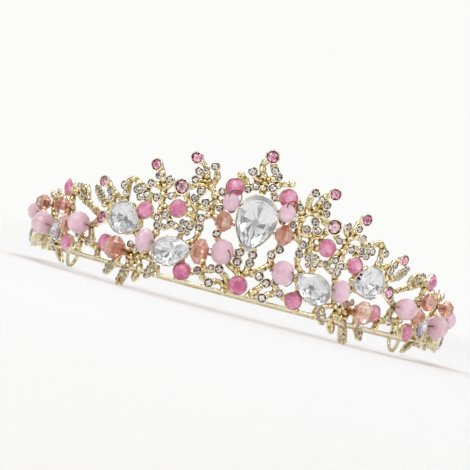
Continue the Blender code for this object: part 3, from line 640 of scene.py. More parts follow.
def pale_glass():
    """Milky alabaster glass, cut and tumbled until its facets are soft."""
    made, tree, shader, place = new_material(
        "milky_alabaster_glass",
        Roughness=0.24,
        IOR=1.5,
        Subsurface_Weight=0.85,
        Subsurface_Radius=(0.004, 0.0032, 0.0035),
        Subsurface_Scale=1.0,
    )
    cloud = add_node(
        tree, "ShaderNodeTexNoise", {"Vector": place, "Scale": scale_of(4.17), "Detail": 3}
    )
    colour = add_node(
        tree,
        "ShaderNodeValToRGB",
        {"Fac": cloud},
        [(0.3, "#DDB9C6"), (0.55, "#EACCD7"), (0.8, "#F4E1E8")],
    )
    plug(tree, shader, {"Base Color": colour})
    return made


def peach_glass():
    """Peach crystal glass, clear right through, cut in long facets.

    Its faint glow stands for the light that is caught between the facets.
    """
    made, tree, shader, _ = new_material(
        "cut_peach_crystal",
        Transmission_Weight=0.72,
        Roughness=0.02,
        IOR=1.54,
        Emission_Color=linear("#E8B4A2"),
        Emission_Strength=0.07,
    )
    tone = add_node(tree, "ShaderNodeAttribute", attribute_name="tone")
    colour = add_node(
        tree,
        "ShaderNodeValToRGB",
        {"Fac": tone.outputs["Fac"]},
        [(0.0, "#A85A40"), (0.35, "#E6A288"), (0.72, "#F8D3C4"), (1.0, "#FFFFFF")],
    )
    plug(tree, shader, {"Base Color": colour})
    return made


def floor_paint():
    """Matt white studio floor that fades into the white of the background all round."""
    made, tree, shader, place = new_material(
        "studio_floor", Roughness=1.0, Specular_IOR_Level=0.0, Base_Color=linear("#FBFAFA")
    )
    reach = add_node(tree, "ShaderNodeVectorMath", {0: place}, operation="LENGTH")
    fade = add_node(
        tree,
        "ShaderNodeMapRange",
        {"Value": reach.outputs["Value"], "From Min": 0.35, "From Max": 1.4},
        interpolation_type="SMOOTHSTEP",
    )
    clear = add_node(tree, "ShaderNodeBsdfTransparent")
    mix = add_node(tree, "ShaderNodeMixShader", {0: fade, 1: shader, 2: clear})
    plug(tree, tree.nodes["Material Output"], {"Surface": mix})
    return made


# Meshes


def add_object(name, data):
    made = bpy.data.objects.new(name, data)
    bpy.context.scene.collection.objects.link(made)
    return made


def mesh_object(name, mesh, finish=None):
    data = bpy.data.meshes.new(name)
    mesh.to_mesh(data)
    mesh.free()
    if finish:
        data.materials.append(finish)
    return add_object(name, data)


def finish_mesh(name, mesh, finish):
    """A mesh in millimetres becomes an object in metres, with its faces out."""
    bmesh.ops.recalc_face_normals(mesh, faces=mesh.faces)
    bmesh.ops.scale(mesh, vec=(MM, MM, MM), verts=mesh.verts)
    return mesh_object(name, mesh, finish)


def smooth(obj, angle):
    obj.data.shade_smooth()
    obj.data.set_sharp_from_angle(angle=math.radians(angle))


def place_piece(obj, slot, *nodes):
    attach(obj, "root")
    if nodes:
        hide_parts(*nodes)


def give_tones(obj, seed):
    """Each facet's brightness, the same every run: flat neighbours share one."""
    draw = random.Random(seed)
    tones = {}
    layer = obj.data.attributes.new("tone", "FLOAT", "FACE")
    for face in obj.data.polygons:
        key = tuple(round(c, 2) for c in face.normal)
        if key not in tones:
            tones[key] = draw.random()
        layer.data[face.index].value = tones[key]


def round_outline(radius, sides, start=0.5):
    steps = [2 * math.pi * (k + start) / sides for k in range(sides)]
    return [(radius * math.cos(t), radius * math.sin(t)) for t in steps]


def pear_outline(length, width, sides):
    """A drop with its point at -y. The power sets how full its shoulders are."""
    fullness = 0.48
    steps = [2 * math.pi * k / sides for k in range(sides)]
    swell = [math.sin(t) * math.sin(t / 2) ** fullness for t in steps]
    widest = max(swell)
    outline = [(-s / widest * width / 2, -math.cos(t) * length / 2) for t, s in zip(steps, swell)]
    return outline[::-1]


def cut_outline(cut, sides):
    if cut.outline == "pear":
        return pear_outline(cut.length, cut.width, sides)
    return [(x * cut.length / 2, y * cut.width / 2) for x, y in round_outline(1, sides)]


def ring_points(outline, share, depth, shift=0.0):
    """Points of the outline, scaled by share, at this depth. A shift of 0.5 is half a side on."""
    points = []
    for here, after in zip(outline, outline[1:] + outline[:1]):
        x, y = Vector(here).lerp(Vector(after), shift)
        points.append(Vector((x * share, y * share, depth)))
    return points


def hull(mesh, place, points):
    """The flat-sided body round points of that frame. Points that fall inside it are dropped."""
    verts = [mesh.verts.new(place @ point) for point in points]
    made = bmesh.ops.convex_hull(mesh, input=verts)
    spare = made["geom_interior"] + made["geom_unused"]
    spare = list({part for part in spare if isinstance(part, bmesh.types.BMVert)})
    bmesh.ops.delete(mesh, geom=spare, context="VERTS")


def loft(mesh, hoops, closed=False, split=False):
    """Faces from each hoop of points to the next, and from the last to the first if closed.

    Split faces are two triangles each. Returns the rows of corners, and the faces by row.
    """
    rows = [[mesh.verts.new(point) for point in hoop] for hoop in hoops]
    faces = []
    for low, high in zip(rows, rows[1:] + (rows[:1] if closed else [])):
        for k in range(len(low)):
            after = (k + 1) % len(low)
            if split:
                faces.append(mesh.faces.new((low[k], low[after], high[after])))
                faces.append(mesh.faces.new((low[k], high[after], high[k])))
            else:
                faces.append(mesh.faces.new((low[k], low[after], high[after], high[k])))
    return rows, faces


def turned_hoops(profile, sides):
    """The hoops of a round fitting, from the reach and depth of each step of its profile."""
    return [ring_points(round_outline(reach, sides), 1.0, depth) for reach, depth in profile]


# Instancing trees


def new_tree(name, sockets):
    """An empty geometry tree with its named inputs: the tree, its inputs and its output node."""
    tree = bpy.data.node_groups.new(name, "GeometryNodeTree")
    tree.interface.new_socket("Geometry", in_out="INPUT", socket_type="NodeSocketGeometry")
    tree.interface.new_socket("Geometry", in_out="OUTPUT", socket_type="NodeSocketGeometry")
    for title, kind in sockets.items():
        tree.interface.new_socket(title, in_out="INPUT", socket_type=f"NodeSocket{kind}")
    inputs = add_node(tree, "NodeGroupInput")
    output = add_node(tree, "NodeGroupOutput")
    return tree, inputs.outputs, output


def end_tree(tree, geometry, metal, output):
    """Instances become mesh, and the mesh gets its material."""
    real = add_node(tree, "GeometryNodeRealizeInstances", {"Geometry": geometry})
    painted = add_node(tree, "GeometryNodeSetMaterial", {"Geometry": real, "Material": metal})
    plug(tree, output, {"Geometry": painted})


def tube_along(tree, curve, radius, swell=1.0):
    """Round wire along a curve, with its ends closed."""
    circle = add_node(tree, "GeometryNodeCurvePrimitiveCircle", {"Resolution": 8, "Radius": radius})
    ends = {"Profile Curve": circle, "Scale": swell, "Fill Caps": True}
    return add_node(tree, "GeometryNodeCurveToMesh", {"Curve": curve, **ends})


def twig_tree():
    """Casts a twig along each line: a tube that swells and shrinks, with knobs strung along it."""
    sizes = {
        "Twig radius": "Float",
        "Knob radius": "Float",
        "Knob spacing": "Float",
        "Unevenness": "Float",
        "Seed": "Int",
        "Metal": "Material",
    }
    tree, given, output = new_tree("cast_twigs", sizes)
    # a twig swells about every 2.3 mm
    noise = add_node(tree, "ShaderNodeTexNoise", {"Scale": 430, "Detail": 2})
    swell = add_node(
        tree,
        "ShaderNodeMapRange",
        {"Value": noise, "From Min": 0.3, "From Max": 0.7, "To Min": 0.78, "To Max": 1.3},
    )
    lines = add_node(
        tree, "GeometryNodeSetCurveRadius", {"Curve": given["Geometry"], "Radius": swell}
    )
    tube = tube_along(tree, lines, given["Twig radius"], swell)
    spots = add_node(
        tree,
        "GeometryNodeCurveToPoints",
        {"Curve": lines, "Length": given["Knob spacing"]},
        mode="LENGTH",
    )
    stray = add_node(
        tree,
        "FunctionNodeRandomValue",
        {"Min": (-1, -1, -1), "Max": (1, 1, 1), "Seed": given["Seed"]},
        data_type="FLOAT_VECTOR",
    )
    shift = add_node(
        tree, "ShaderNodeVectorMath", {0: stray, "Scale": given["Unevenness"]}, operation="SCALE"
    )
    moved = add_node(tree, "GeometryNodeSetPosition", {"Geometry": spots, "Offset": shift})
    knob = add_node(
        tree, "GeometryNodeMeshIcoSphere", {"Subdivisions": 2, "Radius": given["Knob radius"]}
    )
    # inputs 2 and 3 are the least and the most that a knob's size is multiplied by
    growth = add_node(tree, "FunctionNodeRandomValue", {2: 0.7, 3: 1.15, "Seed": given["Seed"]})
    knobs = add_node(
        tree,
        "GeometryNodeInstanceOnPoints",
        {"Points": moved, "Instance": knob, "Scale": growth.outputs[1]},
    )
    joined = add_node(tree, "GeometryNodeJoinGeometry", {"Geometry": tube})
    plug(tree, joined, {"Geometry": knobs})
    end_tree(tree, joined, given["Metal"], output)
    return tree


def setting_tree():
    """Puts one small fitting on each point: it faces the point's out and has the point's size."""
    sizes = {
        "Fitting": "Object",
        "Size": "Float",
        "Twist": "Float",
        "Seed": "Int",
        "Finish": "Material",
    }
    tree, given, output = new_tree("set_fittings", sizes)
    attribute = "GeometryNodeInputNamedAttribute"
    out = add_node(tree, attribute, {"Name": "out"}, data_type="FLOAT_VECTOR")
    size = add_node(tree, attribute, {"Name": "size"}, data_type="FLOAT")
    facing = add_node(tree, "FunctionNodeAlignRotationToVector", {"Vector": out}, axis="Z")
    share = add_node(tree, "FunctionNodeRandomValue", {"Seed": given["Seed"]})
    turn = add_node(
        tree, "ShaderNodeMath", {0: share.outputs[1], 1: given["Twist"]}, operation="MULTIPLY"
    )
    spin = add_node(tree, "ShaderNodeCombineXYZ", {"Z": turn})
    local = add_node(
        tree,
        "FunctionNodeRotateRotation",
        {"Rotation": facing, "Rotate By": spin},
        rotation_space="LOCAL",
    )
    scale = add_node(tree, "ShaderNodeMath", {0: size, 1: given["Size"]}, operation="MULTIPLY")
    fitting = add_node(tree, "GeometryNodeObjectInfo", {"Object": given["Fitting"]})
    placed = add_node(
        tree,
        "GeometryNodeInstanceOnPoints",
        {
            "Points": given["Geometry"],
            "Instance": fitting.outputs["Geometry"],
            "Rotation": local,
            "Scale": scale,
        },
    )
    end_tree(tree, placed, given["Finish"], output)
    return tree


def coil_tree():
    """Winds wire into a coil along z, from the turns, the height and the coil's radius."""
    sizes = {
        "Turns": "Float",
        "Coil radius": "Float",
        "Coil height": "Float",
        "Wire radius": "Float",
        "Metal": "Material",
    }
    tree, given, output = new_tree("wound_coil", sizes)
    spiral = add_node(
        tree,
        "GeometryNodeCurveSpiral",
        {
            "Resolution": 18,
            "Rotations": given["Turns"],
            "Start Radius": given["Coil radius"],
            "End Radius": given["Coil radius"],
            "Height": given["Coil height"],
        },
    )
    tube = tube_along(tree, spiral, given["Wire radius"])
    end_tree(tree, tube, given["Metal"], output)
    return tree


def grow(obj, tree, **values):
    """Adds the tree to the object, with its named inputs set by their identifiers."""
    sockets = {
        item.name: item.identifier
        for item in tree.interface.items_tree
        if item.item_type == "SOCKET" and item.in_out == "INPUT"
    }
    modifier = obj.modifiers.new(tree.name, "NODES")
    modifier.node_group = tree
    for title, value in values.items():
        modifier[sockets[title.replace("_", " ")]] = value


def bake(obj, name, finish=None):
    """The object as its modifiers leave it, as a plain mesh object that takes its place."""
    graph = bpy.context.evaluated_depsgraph_get()
    data = bpy.data.meshes.new_from_object(obj.evaluated_get(graph))
    data.name = name
    bpy.data.objects.remove(obj)
    if finish:
        data.materials.clear()
        data.materials.append(finish)
    return add_object(name, data)


def set_on_points(name, places, fitting, finish, twist=0.0, seed=1):
    """One fitting on each place, given as (point, direction, size) in millimetres."""
    data = bpy.data.meshes.new(name)
    data.from_pydata([point * MM for point, _, _ in places], [], [])
    data.attributes.new("out", "FLOAT_VECTOR", "POINT")
    data.attributes.new("size", "FLOAT", "POINT")
    for k, (_, direction, reach) in enumerate(places):
        data.attributes["out"].data[k].vector = direction
        data.attributes["size"].data[k].value = reach
    spots = add_object(name, data)
    grow(spots, settings, Fitting=fitting, Size=MM, Twist=twist, Seed=seed, Finish=finish)
    return bake(spots, name, finish)


def smooth_lines(name, paths, steps):
    """Smooth lines through points in millimetres. A path is its points and whether it closes."""
    data = bpy.data.curves.new(name, "CURVE")
    data.dimensions = "3D"
    data.resolution_u = steps
    for points, closed in paths:
        spline = data.splines.new("BEZIER")
        spline.use_cyclic_u = closed
        spline.bezier_points.add(len(points) - 1)
        for knot, point in zip(spline.bezier_points, points):
            knot.co = point * MM
            knot.handle_left_type = "AUTO"
            knot.handle_right_type = "AUTO"
    return add_object(name, data)


def level_at_floor(obj):
    """Files flat what would reach below the floor."""
    for vert in obj.data.vertices:
        vert.co.z = max(vert.co.z, 0.0)


# The casting


def twig_paths(runs):
    """The twigs' lines. Neighbours lie a little nearer or farther out, so that they overlap."""
    paths = []
    for number, run in enumerate(runs):
        radius = SPRAY_RADIUS + 0.04 * (number % 7) - 0.16
        paths.append(([on_crown(angle, height, radius) for angle, height in run], False))
    return paths


def leaf_frame(leaf, lift=0.0):
    """Where a leaf lies: x from stem to tip, y across it and z out of the crown, and its length."""
    base = on_crown(*leaf.base, SPRAY_RADIUS + lift)
    tip = on_crown(*leaf.tip, SPRAY_RADIUS + lift)
    middle = (leaf.base[0] + leaf.tip[0]) / 2
    heading = (tip - base).normalized()
    out = outward(middle)
    out = (out - heading * out.dot(heading)).normalized()
    axes = Matrix((heading, out.cross(heading), out)).transposed().to_4x4()
    return Matrix.Translation((base + tip) / 2) @ axes, (tip - base).length


def add_leaf(mesh, leaf, lift):
    """A leaf with a raised rib, pointed at its tip, or a rounded plate where it is paved."""
    place, length = leaf_frame(leaf, lift)
    stations = PAVED_STATIONS if leaf.paved else PLAIN_STATIONS
    wider = LEAF_SPREAD if leaf.paved else 1.0
    top = 0.62 if leaf.paved else 1.0
    flat = 0.62 if leaf.paved else 0.0
    points = []
    for share, swell in stations:
        half = leaf.width / 2 * swell * wider
        for side in (-1, 1):
            points.append(Vector((share * length, side * half, 0.1)))
            points.append(Vector((share * length, side * half * 0.7, LEAF_BACK)))
        for side in (1, -1):
            height = top * (0.5 + 0.5 * swell)
            points.append(Vector((share * length, side * half * flat, height)))
    hull(mesh, place, points)


def add_seat(mesh, angle, height, radius, front):
    """The little cup behind a stone or bead: its radius narrows by a fifth to its front."""
    place = facing_out(angle, height, SPRAY_RADIUS)
    points = ring_points(round_outline(radius, 10), 1.0, -0.45)
    points += ring_points(round_outline(radius * 0.8, 10), 1.0, front - SPRAY_RADIUS)
    hull(mesh, place, points)


def seats_for(cuts, domes, beads):
    """The seats behind the domes, the small cut stones and the beads, as add_seat takes them.

    A seat is two thirds as wide as its dome, or about half as wide as its cut stone.
    """
    front = STONE_BACK - 0.3
    small = [cut for cut in cuts if cut.length < LARGE_CUT]
    rows = [(dome.angle, dome.height, dome.radius * 0.68, front) for dome in domes]
    rows += [(cut.angle, cut.height, cut.width * 0.27, front) for cut in small]
    rows += [(bead.angle, bead.height, BEAD_SEAT, front + bead.lift) for bead in beads]
    return rows


def add_knob(mesh, angle, height, radius, out):
    place = Matrix.Translation(on_crown(angle, height, SPRAY_RADIUS + out))
    bmesh.ops.create_icosphere(mesh, subdivisions=2, radius=radius, matrix=place)


def add_rosette(mesh, side):
    """The flower of knobs that the foot leaves spring from."""
    angle = ROSETTE_ANGLE * side
    for across, up in round_outline(PETAL_REACH, PETALS, 0.0):
        petal_angle = angle + math.degrees(across / SPRAY_RADIUS)
        add_knob(mesh, petal_angle, ROSETTE_HEIGHT + up, PETAL_RADIUS, 0.3)
    add_knob(mesh, angle, ROSETTE_HEIGHT, HEART_RADIUS, 0.2)


def gallery_ring(cut):
    """The wire ring behind a large stone."""
    place = facing_out(cut.angle, cut.height, SPRAY_RADIUS, cut.turn)
    return [place @ point for point in ring_points(cut_outline(cut, 12), 0.74, 0.0)]


def cast_spray(name, runs, leaves, cuts, seats, rosette_side, seed):
    """One stretch of the spray as the foundry leaves it: everything melted into one skin."""
    rings = [(gallery_ring(cut), True) for cut in cuts]
    lines = smooth_lines(f"{name}_lines", twig_paths(runs) + rings, 5)
    grow(
        lines,
        twigs,
        Twig_radius=TWIG_RADIUS * MM,
        Knob_radius=KNOB_RADIUS * MM,
        Knob_spacing=KNOB_SPACING * MM,
        Unevenness=0.3 * MM,
        Seed=seed,
        Metal=gold,
    )
    grown = bake(lines, f"{name}_twigs")
    body = bmesh.new()
    for number, leaf in enumerate(leaves):
        # neighbours overlap like scales
        add_leaf(body, leaf, 0.16 * (number % 3))
    for seat in seats:
        add_seat(body, *seat)
    if rosette_side:
        add_rosette(body, rosette_side)
    bmesh.ops.scale(body, vec=(MM, MM, MM), verts=body.verts)
    body.from_mesh(grown.data)
    bpy.data.objects.remove(grown)
    rough = mesh_object(name, body)
    melt = rough.modifiers.new("Melt", "REMESH")
    melt.mode = "VOXEL"
    melt.voxel_size = CASTING_GRAIN * MM
    soften = rough.modifiers.new("Soften", "SMOOTH")
    soften.factor = 0.5
    soften.iterations = 2
    skin = rough.modifiers.new("Cast skin", "DISPLACE")
    skin.texture = cast_skin
    skin.strength = SKIN_DEPTH * MM
    fewer = rough.modifiers.new("Fewer faces", "DECIMATE")
    fewer.ratio = CASTING_KEPT
    cast = bake(rough, name, gold)
    level_at_floor(cast)
    cast.data.shade_smooth()
    place_piece(cast, "gold_plate", "spray_frame")


def make_castings():
    large = [cut for cut in SIDE_CUTS if cut.length > LARGE_CUT]
    seats = seats_for([], CENTRE_DOMES, CENTRE_PALE + CENTRE_PEACH)
    cast_spray("spray_centre", CENTRE_TWIGS, [], [CENTRE_CUT], seats, 0, 3)
    for side in (-1, 1):
        cuts = on_side(SIDE_CUTS, side)
        domes = on_side(SIDE_DOMES, side)
        beads = on_side(SIDE_PALE + SIDE_PEACH, side)
        cast_spray(
            f"spray_{side_name(side)}",
            [turned(run, side) for run in SIDE_TWIGS],
            on_side(SIDE_LEAVES, side),
            on_side(large, side),
            seats_for(cuts, domes, beads),
            side,
            5 + side,
        )


# Wires


def wire_piece(name, paths, radius, finish, roundness=3):
    """Round wire along each path."""
    lines = smooth_lines(f"{name}_line", paths, 3)
    lines.data.bevel_depth = radius * MM
    lines.data.bevel_resolution = roundness
    lines.data.use_fill_caps = True
    made = bake(lines, name, finish)
    made.data.shade_smooth()
    return made


def wire_height(angle):
    """The band lies a little under the rail and dips towards its ends."""
    share = max(0.0, abs(angle) - END_DIP_START) / (STEM_END - END_DIP_START)
    return -WIRE_DROP - END_DIP * share**2


def band_points(first, last, radius, dips=True):
    """Places every 4 degrees or so from one angle to the other, on the band or, level, the rail."""
    count = max(3, round(abs(last - first) / 4))
    angles = [first + (last - first) * k / count for k in range(count + 1)]
    return [on_crown(angle, wire_height(angle) if dips else 0.0, radius) for angle in angles]


def make_band():
    end = BINDING_MIDDLE - WIRE_GAP / 2
    band_line = band_points(-end, end, WIRE_RING_RADIUS)
    band = wire_piece("band_wire", [(band_line, False)], WIRE_RADIUS, wire)
    place_piece(band, "gold_plate", "base_wire")
    rail_line = band_points(-RAIL_END_ANGLE, RAIL_END_ANGLE, SPRAY_RADIUS, dips=False)
    rail = wire_piece("spray_rail", [(rail_line, False)], RAIL_RADIUS, gold)
    place_piece(rail, "gold_plate", "spray_frame")


def make_end_loop(side):
    """The ribbon loop: broad at its top, narrow where it stands, filed flat at the floor."""
    height = LOOP_HEIGHT / 2 - LOOP_SINK - WIRE_HEIGHT
    place = facing_out(LOOP_ANGLE * side, height, WIRE_RING_RADIUS, LOOP_LEAN * side)
    ring = []
    for x, y in round_outline(1, 20):
        reach = (LOOP_LENGTH / 2 - WIRE_RADIUS) * (1 + LOOP_FLARE * y)
        ring.append(place @ Vector((reach * x, (LOOP_HEIGHT / 2 - WIRE_RADIUS) * y, 0)))
    first = side * (BINDING_MIDDLE + WIRE_GAP / 2)
    stem = band_points(first, side * STEM_END, WIRE_RING_RADIUS)
    name = side_name(side)
    loop = wire_piece(f"ribbon_loop_{name}", [(ring, True), (stem, False)], WIRE_RADIUS, wire)
    level_at_floor(loop)
    place_piece(loop, "gold_plate", f"end_loop_{name}")


def wind_coil(side, first, turns, reach, length):
    """A coil of copper wire round the band, from its first angle on."""
    spot = add_object("coil", bpy.data.meshes.new("coil"))
    grow(
        spot,
        coils,
        Turns=turns,
        Coil_radius=reach * MM,
        Coil_height=length * MM,
        Wire_radius=COPPER_RADIUS * MM,
        Metal=copper,
    )
    made = bake(spot, "coil")
    middle = side * (first + math.degrees(length / 2 / WIRE_RING_RADIUS))
    centre = on_crown(middle, wire_height(middle), WIRE_RING_RADIUS)
    turn = (along(middle) * side).to_track_quat("Z", "Y").to_matrix().to_4x4()
    start = Matrix.Translation((0, 0, -length / 2 * MM))
    made.data.transform(Matrix.Translation(centre * MM) @ turn @ start)
    return made


def make_binding(side):
    """The copper binding: one loose turn, then a tight coil, over packing that fills it."""
    body = bmesh.new()
    for coil in (
        wind_coil(side, BINDING_START + 0.3, 1.4, COIL_RADIUS + 0.06, 2.4),
        wind_coil(side, BINDING_START + 2.5, 5.5, COIL_RADIUS, 3.7),
    ):
        body.from_mesh(coil.data)
        bpy.data.objects.remove(coil)
    packing = []
    for angle in (side * (BINDING_START + 0.6), side * (BINDING_END - 0.6)):
        centre = on_crown(angle, wire_height(angle), WIRE_RING_RADIUS)
        for out, up in round_outline(COIL_RADIUS - 0.1, 12, 0.0):
            packing.append(centre + outward(angle) * out + Vector((0, 0, up)))
    hull(body, Matrix.Scale(MM, 4), packing)
    binding = mesh_object(f"binding_{side_name(side)}", body, copper)
    smooth(binding, 50)
    place_piece(binding, "copper_wire", f"wire_binding_{side_name(side)}")


# Stones


def polished(obj, width):
    """The object with its facet edges rounded over by polishing."""
    round_over = obj.modifiers.new("Polish", "BEVEL")
    round_over.width = width * MM
    round_over.segments = 2
    round_over.limit_method = "ANGLE"
    round_over.angle_limit = math.radians(6)
    return bake(obj, obj.name)


def facet(name, place, corners, finish):
    """A glass body with flat facets between its corners."""
    body = bmesh.new()
    hull(body, place, corners)
    return finish_mesh(name, body, finish)


def placed_hoops(place, outline, steps):
    """Hoops of the outline in that frame. A step is a share of it, a depth and maybe a shift."""
    return [[place @ point for point in ring_points(outline, *step)] for step in steps]


def make_cut_glass(cut, facets):
    """A cut stone's crown: its table, its facets, its girdle and a shallow back."""
    girdle = cut_outline(cut, 32)
    points = ring_points(facets, 0.5, cut.crown)
    points += ring_points(facets, 0.78, cut.crown * 0.72, 0.5)
    points += ring_points(girdle, 0.985, 0.22)
    points += ring_points(girdle, 0.985, -0.1)
    points += ring_points(facets, 0.9, -0.4, 0.5)
    glass = facet(f"{cut.name}_glass", cut_frame(cut), points, crystal)
    place_piece(glass, "clear_crystal", cut.name)


def make_cut_foil(cut, facets, seed):
    """The foil under the crown: a faceted cup, up to the girdle and back down round itself."""
    back = 0.15 - cut.depth
    steps = [
        (0.16, back * 0.92),
        (0.55, back * 0.62, 0.5),
        (0.93, -0.42),
        (0.985, -0.16),
        (0.97, -0.5),
        (0.6, back),
    ]
    cup = bmesh.new()
    rows, _ = loft(cup, placed_hoops(cut_frame(cut), facets, steps), split=True)
    cup.faces.new(rows[0][::-1])
    cup.faces.new(rows[-1])
    mirror = finish_mesh(f"{cut.name}_foil", cup, foil)
    give_tones(mirror, seed)
    place_piece(mirror, "clear_crystal")


def make_cut_rim(cut):
    """The setting: a cup that closes the stone's back, with a thin lip over its edge."""
    steps = [
        (0.64, 0.03 - cut.depth),
        (0.98, -1.3),
        (1.03, -0.7),
        (1.035, 0.16),
        (1.02, 0.3),
        (0.995, 0.24),
        (0.99, -0.3),
    ]
    rim = bmesh.new()
    rows, _ = loft(rim, placed_hoops(cut_frame(cut), cut_outline(cut, RIM_SIDES), steps))
    rim.faces.new(rows[0][::-1])
    setting = finish_mesh(f"{cut.name}_rim", rim, gold)
    smooth(setting, 45)
    place_piece(setting, "gold_plate")


def make_cut_stone(cut, seed):
    """A foil-backed stone: the clear crown over a faceted mirror cup, in a thin metal rim."""
    facets = cut_outline(cut, 16 if cut.length > LARGE_CUT else 12)
    make_cut_glass(cut, facets)
    make_cut_foil(cut, facets, seed)
    make_cut_rim(cut)


def claw_places(cuts):
    """The claws round each stone: where they stand, which way they face, and their size."""
    places = []
    spacing = RIM_SIDES // CLAWS
    for cut in cuts:
        place = cut_frame(cut)
        for foot in ring_points(cut_outline(cut, RIM_SIDES), 1.02, 0.32)[spacing // 2 :: spacing]:
            places.append((place @ foot, outward(cut.angle), 0.42))
    return places


def make_dome(dome, seed):
    """An opaque stone: a flat top and two rows of facets, polished over, on a round girdle."""
    facets = round_outline(dome.radius - 0.12, 10)
    girdle = round_outline(dome.radius - 0.12, 20)
    points = ring_points(facets, 0.46, dome.rise)
    points += ring_points(facets, 0.8, dome.rise * 0.74, 0.5)
    points += ring_points(girdle, 1.0, dome.rise * 0.3)
    points += ring_points(girdle, 0.96, 0.0)
    place = facing_out(dome.angle, dome.height, STONE_BACK)
    made = polished(facet(f"{dome.name}_stone", place, points, rose), 0.06)
    give_tones(made, seed)
    place_piece(made, "rose_glass", dome.name)


def ringed_corners(bead):
    """A pale bead's corners, in rings round its hole, each half a facet on from the last."""
    points = []
    rings = [(-1.0, 0.42), (-0.66, 0.83), (-0.22, 1.0), (0.22, 1.0), (0.66, 0.83), (1.0, 0.42)]
    for number, (at, share) in enumerate(rings):
        for up, out in round_outline(bead.radius * share, 10, 0.5 * (number % 2)):
            points.append(Vector((bead.half_width * at, up, out)))
    return points


def upright_corners(bead):
    """A peach bead's corners: long gores from its top to its bottom."""
    points = []
    for at, share in ((-1.0, 0.3), (-0.5, 0.93), (0.42, 0.96), (1.0, 0.3)):
        for across, out in round_outline(share, 14):
            points.append(Vector((bead.half_width * across, bead.radius * at, bead.radius * out)))
    return points


def make_bead(bead, corners, finish, slot, polish, seed):
    """A faceted bead, its edges rounded by this much polish."""
    made = polished(facet(f"{bead.name}_glass", bead_frame(bead), corners, finish), polish)
    give_tones(made, seed)
    place_piece(made, slot, bead.name)


def thread_paths(beads):
    """The binding wire of each bead: out of its hole on both sides and back to the twig."""
    paths = []
    for bead in beads:
        place = bead_frame(bead)
        radius = bead.radius
        for side in (-1, 1):
            end = bead.half_width * side
            points = [
                (end * 0.8, 0.0, 0.0),
                (end + 0.35 * side, 0.1, -0.05 * radius),
                (end + 0.55 * side, -0.25, -0.45 * radius),
                (end + 0.2 * side, -0.5, -0.9 * radius),
                (end * 0.6, -0.2, -radius - 0.9),
            ]
            paths.append(([place @ Vector(point) for point in points], False))
    return paths


def wires_over(beads, route):
    """A wire over each bead. Its route is in shares of the bead's half width and its radius."""
    paths = []
    for bead in beads:
        place = bead_frame(bead)
        scale = Vector((bead.half_width, bead.radius, bead.radius))
        paths.append(([place @ (Vector(point) * scale) for point in route], False))
    return paths


# Masters of the small fittings, one unit in radius


def master(name, mesh, smooth_angle=None):
    """The object that the fittings of one kind are copied from. It is removed in the end."""
    bmesh.ops.recalc_face_normals(mesh, faces=mesh.faces)
    made = mesh_object(name, mesh)
    if smooth_angle:
        smooth(made, smooth_angle)
    return made


def cup_master():
    """A small stone's cup: it widens to a thick rim that is bent in over the stone."""
    mesh = bmesh.new()
    profile = [(0.6, -0.5), (0.98, 0.2), (1.12, 0.58), (1.09, 0.8), (0.93, 0.85), (0.85, 0.6)]
    rows, _ = loft(mesh, turned_hoops(profile, 10))
    mesh.faces.new(rows[0][::-1])
    mesh.faces.new(rows[-1])
    return master("cup", mesh, 40)


def stone_master():
    """A small round stone: a flat table over the star of its foiled back, and crown facets.

    Its tones are painted reflections: dark at the middle of the star and mixed round it and at the
    crown.
    """
    mesh = bmesh.new()
    tone = mesh.faces.layers.float.new("tone")
    sides = 8
    profile = [(0.13, 0.95), (0.46, 0.95), (0.7, 0.82), (0.83, 0.66), (0.8, 0.45)]
    # painted reflections of the foiled back, row by row
    tones = [(0.85, 0.5), (0.75, 0.3), (0.24, 0.5), (0.3, 0.2)]
    rows, faces = loft(mesh, turned_hoops(profile, sides))
    for number, face in enumerate(faces):
        row, k = divmod(number, sides)
        face[tone] = tones[row][(k + row) % 2]
    middle = mesh.faces.new(rows[0])
    # the painted dark reflection at the star's middle
    middle[tone] = 0.1
    mesh.faces.new(rows[-1])
    return master("stone", mesh)


def bezel_master():
    """A thin ring round an opaque stone's girdle, closed behind it."""
    mesh = bmesh.new()
    profile = [(0.86, -0.16), (1.0, -0.12), (1.03, 0.26), (1.0, 0.33), (0.96, 0.28), (0.95, 0.0)]
    loft(mesh, turned_hoops(profile, 24), closed=True)
    return master("bezel", mesh, 40)


def claw_master():
    """A claw's rounded tip, a little longer than broad."""
    mesh = bmesh.new()
    bmesh.ops.create_icosphere(mesh, subdivisions=2, radius=1.0)
    bmesh.ops.scale(mesh, vec=(0.9, 0.9, 1.2), verts=mesh.verts)
    return master("claw", mesh, 180)


def chaton_places(chatons, back, seed, sway):
    """Where the small stones sit. Each leans a little its own way, as hand-set stones do."""
    draw = random.Random(seed)
    places = []
    for row in chatons:
        lean = Vector([draw.uniform(-sway, sway) for _ in range(3)])
        direction = (outward(row.angle) + lean).normalized()
        places.append((on_crown(row.angle, row.height, back), direction, row.radius))
    return places


def pave_places(side):
    """Two rows of tiny stones along each paved leaf, with a single one at each end."""
    places = []
    for leaf in on_side(SIDE_LEAVES, side):
        if not leaf.paved:
            continue
        place, length = leaf_frame(leaf)
        count = max(3, round(length / PAVE_SPACING))
        for k in range(count):
            share = (k + 0.5) / count - 0.47
            at_end = k in (0, count - 1)
            for row in (0,) if at_end else (-1, 1):
                across = row * leaf.width * LEAF_SPREAD * 0.23
                spot = place @ Vector((share * length * 0.95 + row * 0.2, across, 0.36))
                facing = place.to_3x3() @ Vector((0, row * 0.3, 1))
                if spot.z > PAVE_RADIUS * 1.5:
                    places.append((spot, facing, PAVE_RADIUS))
    return places


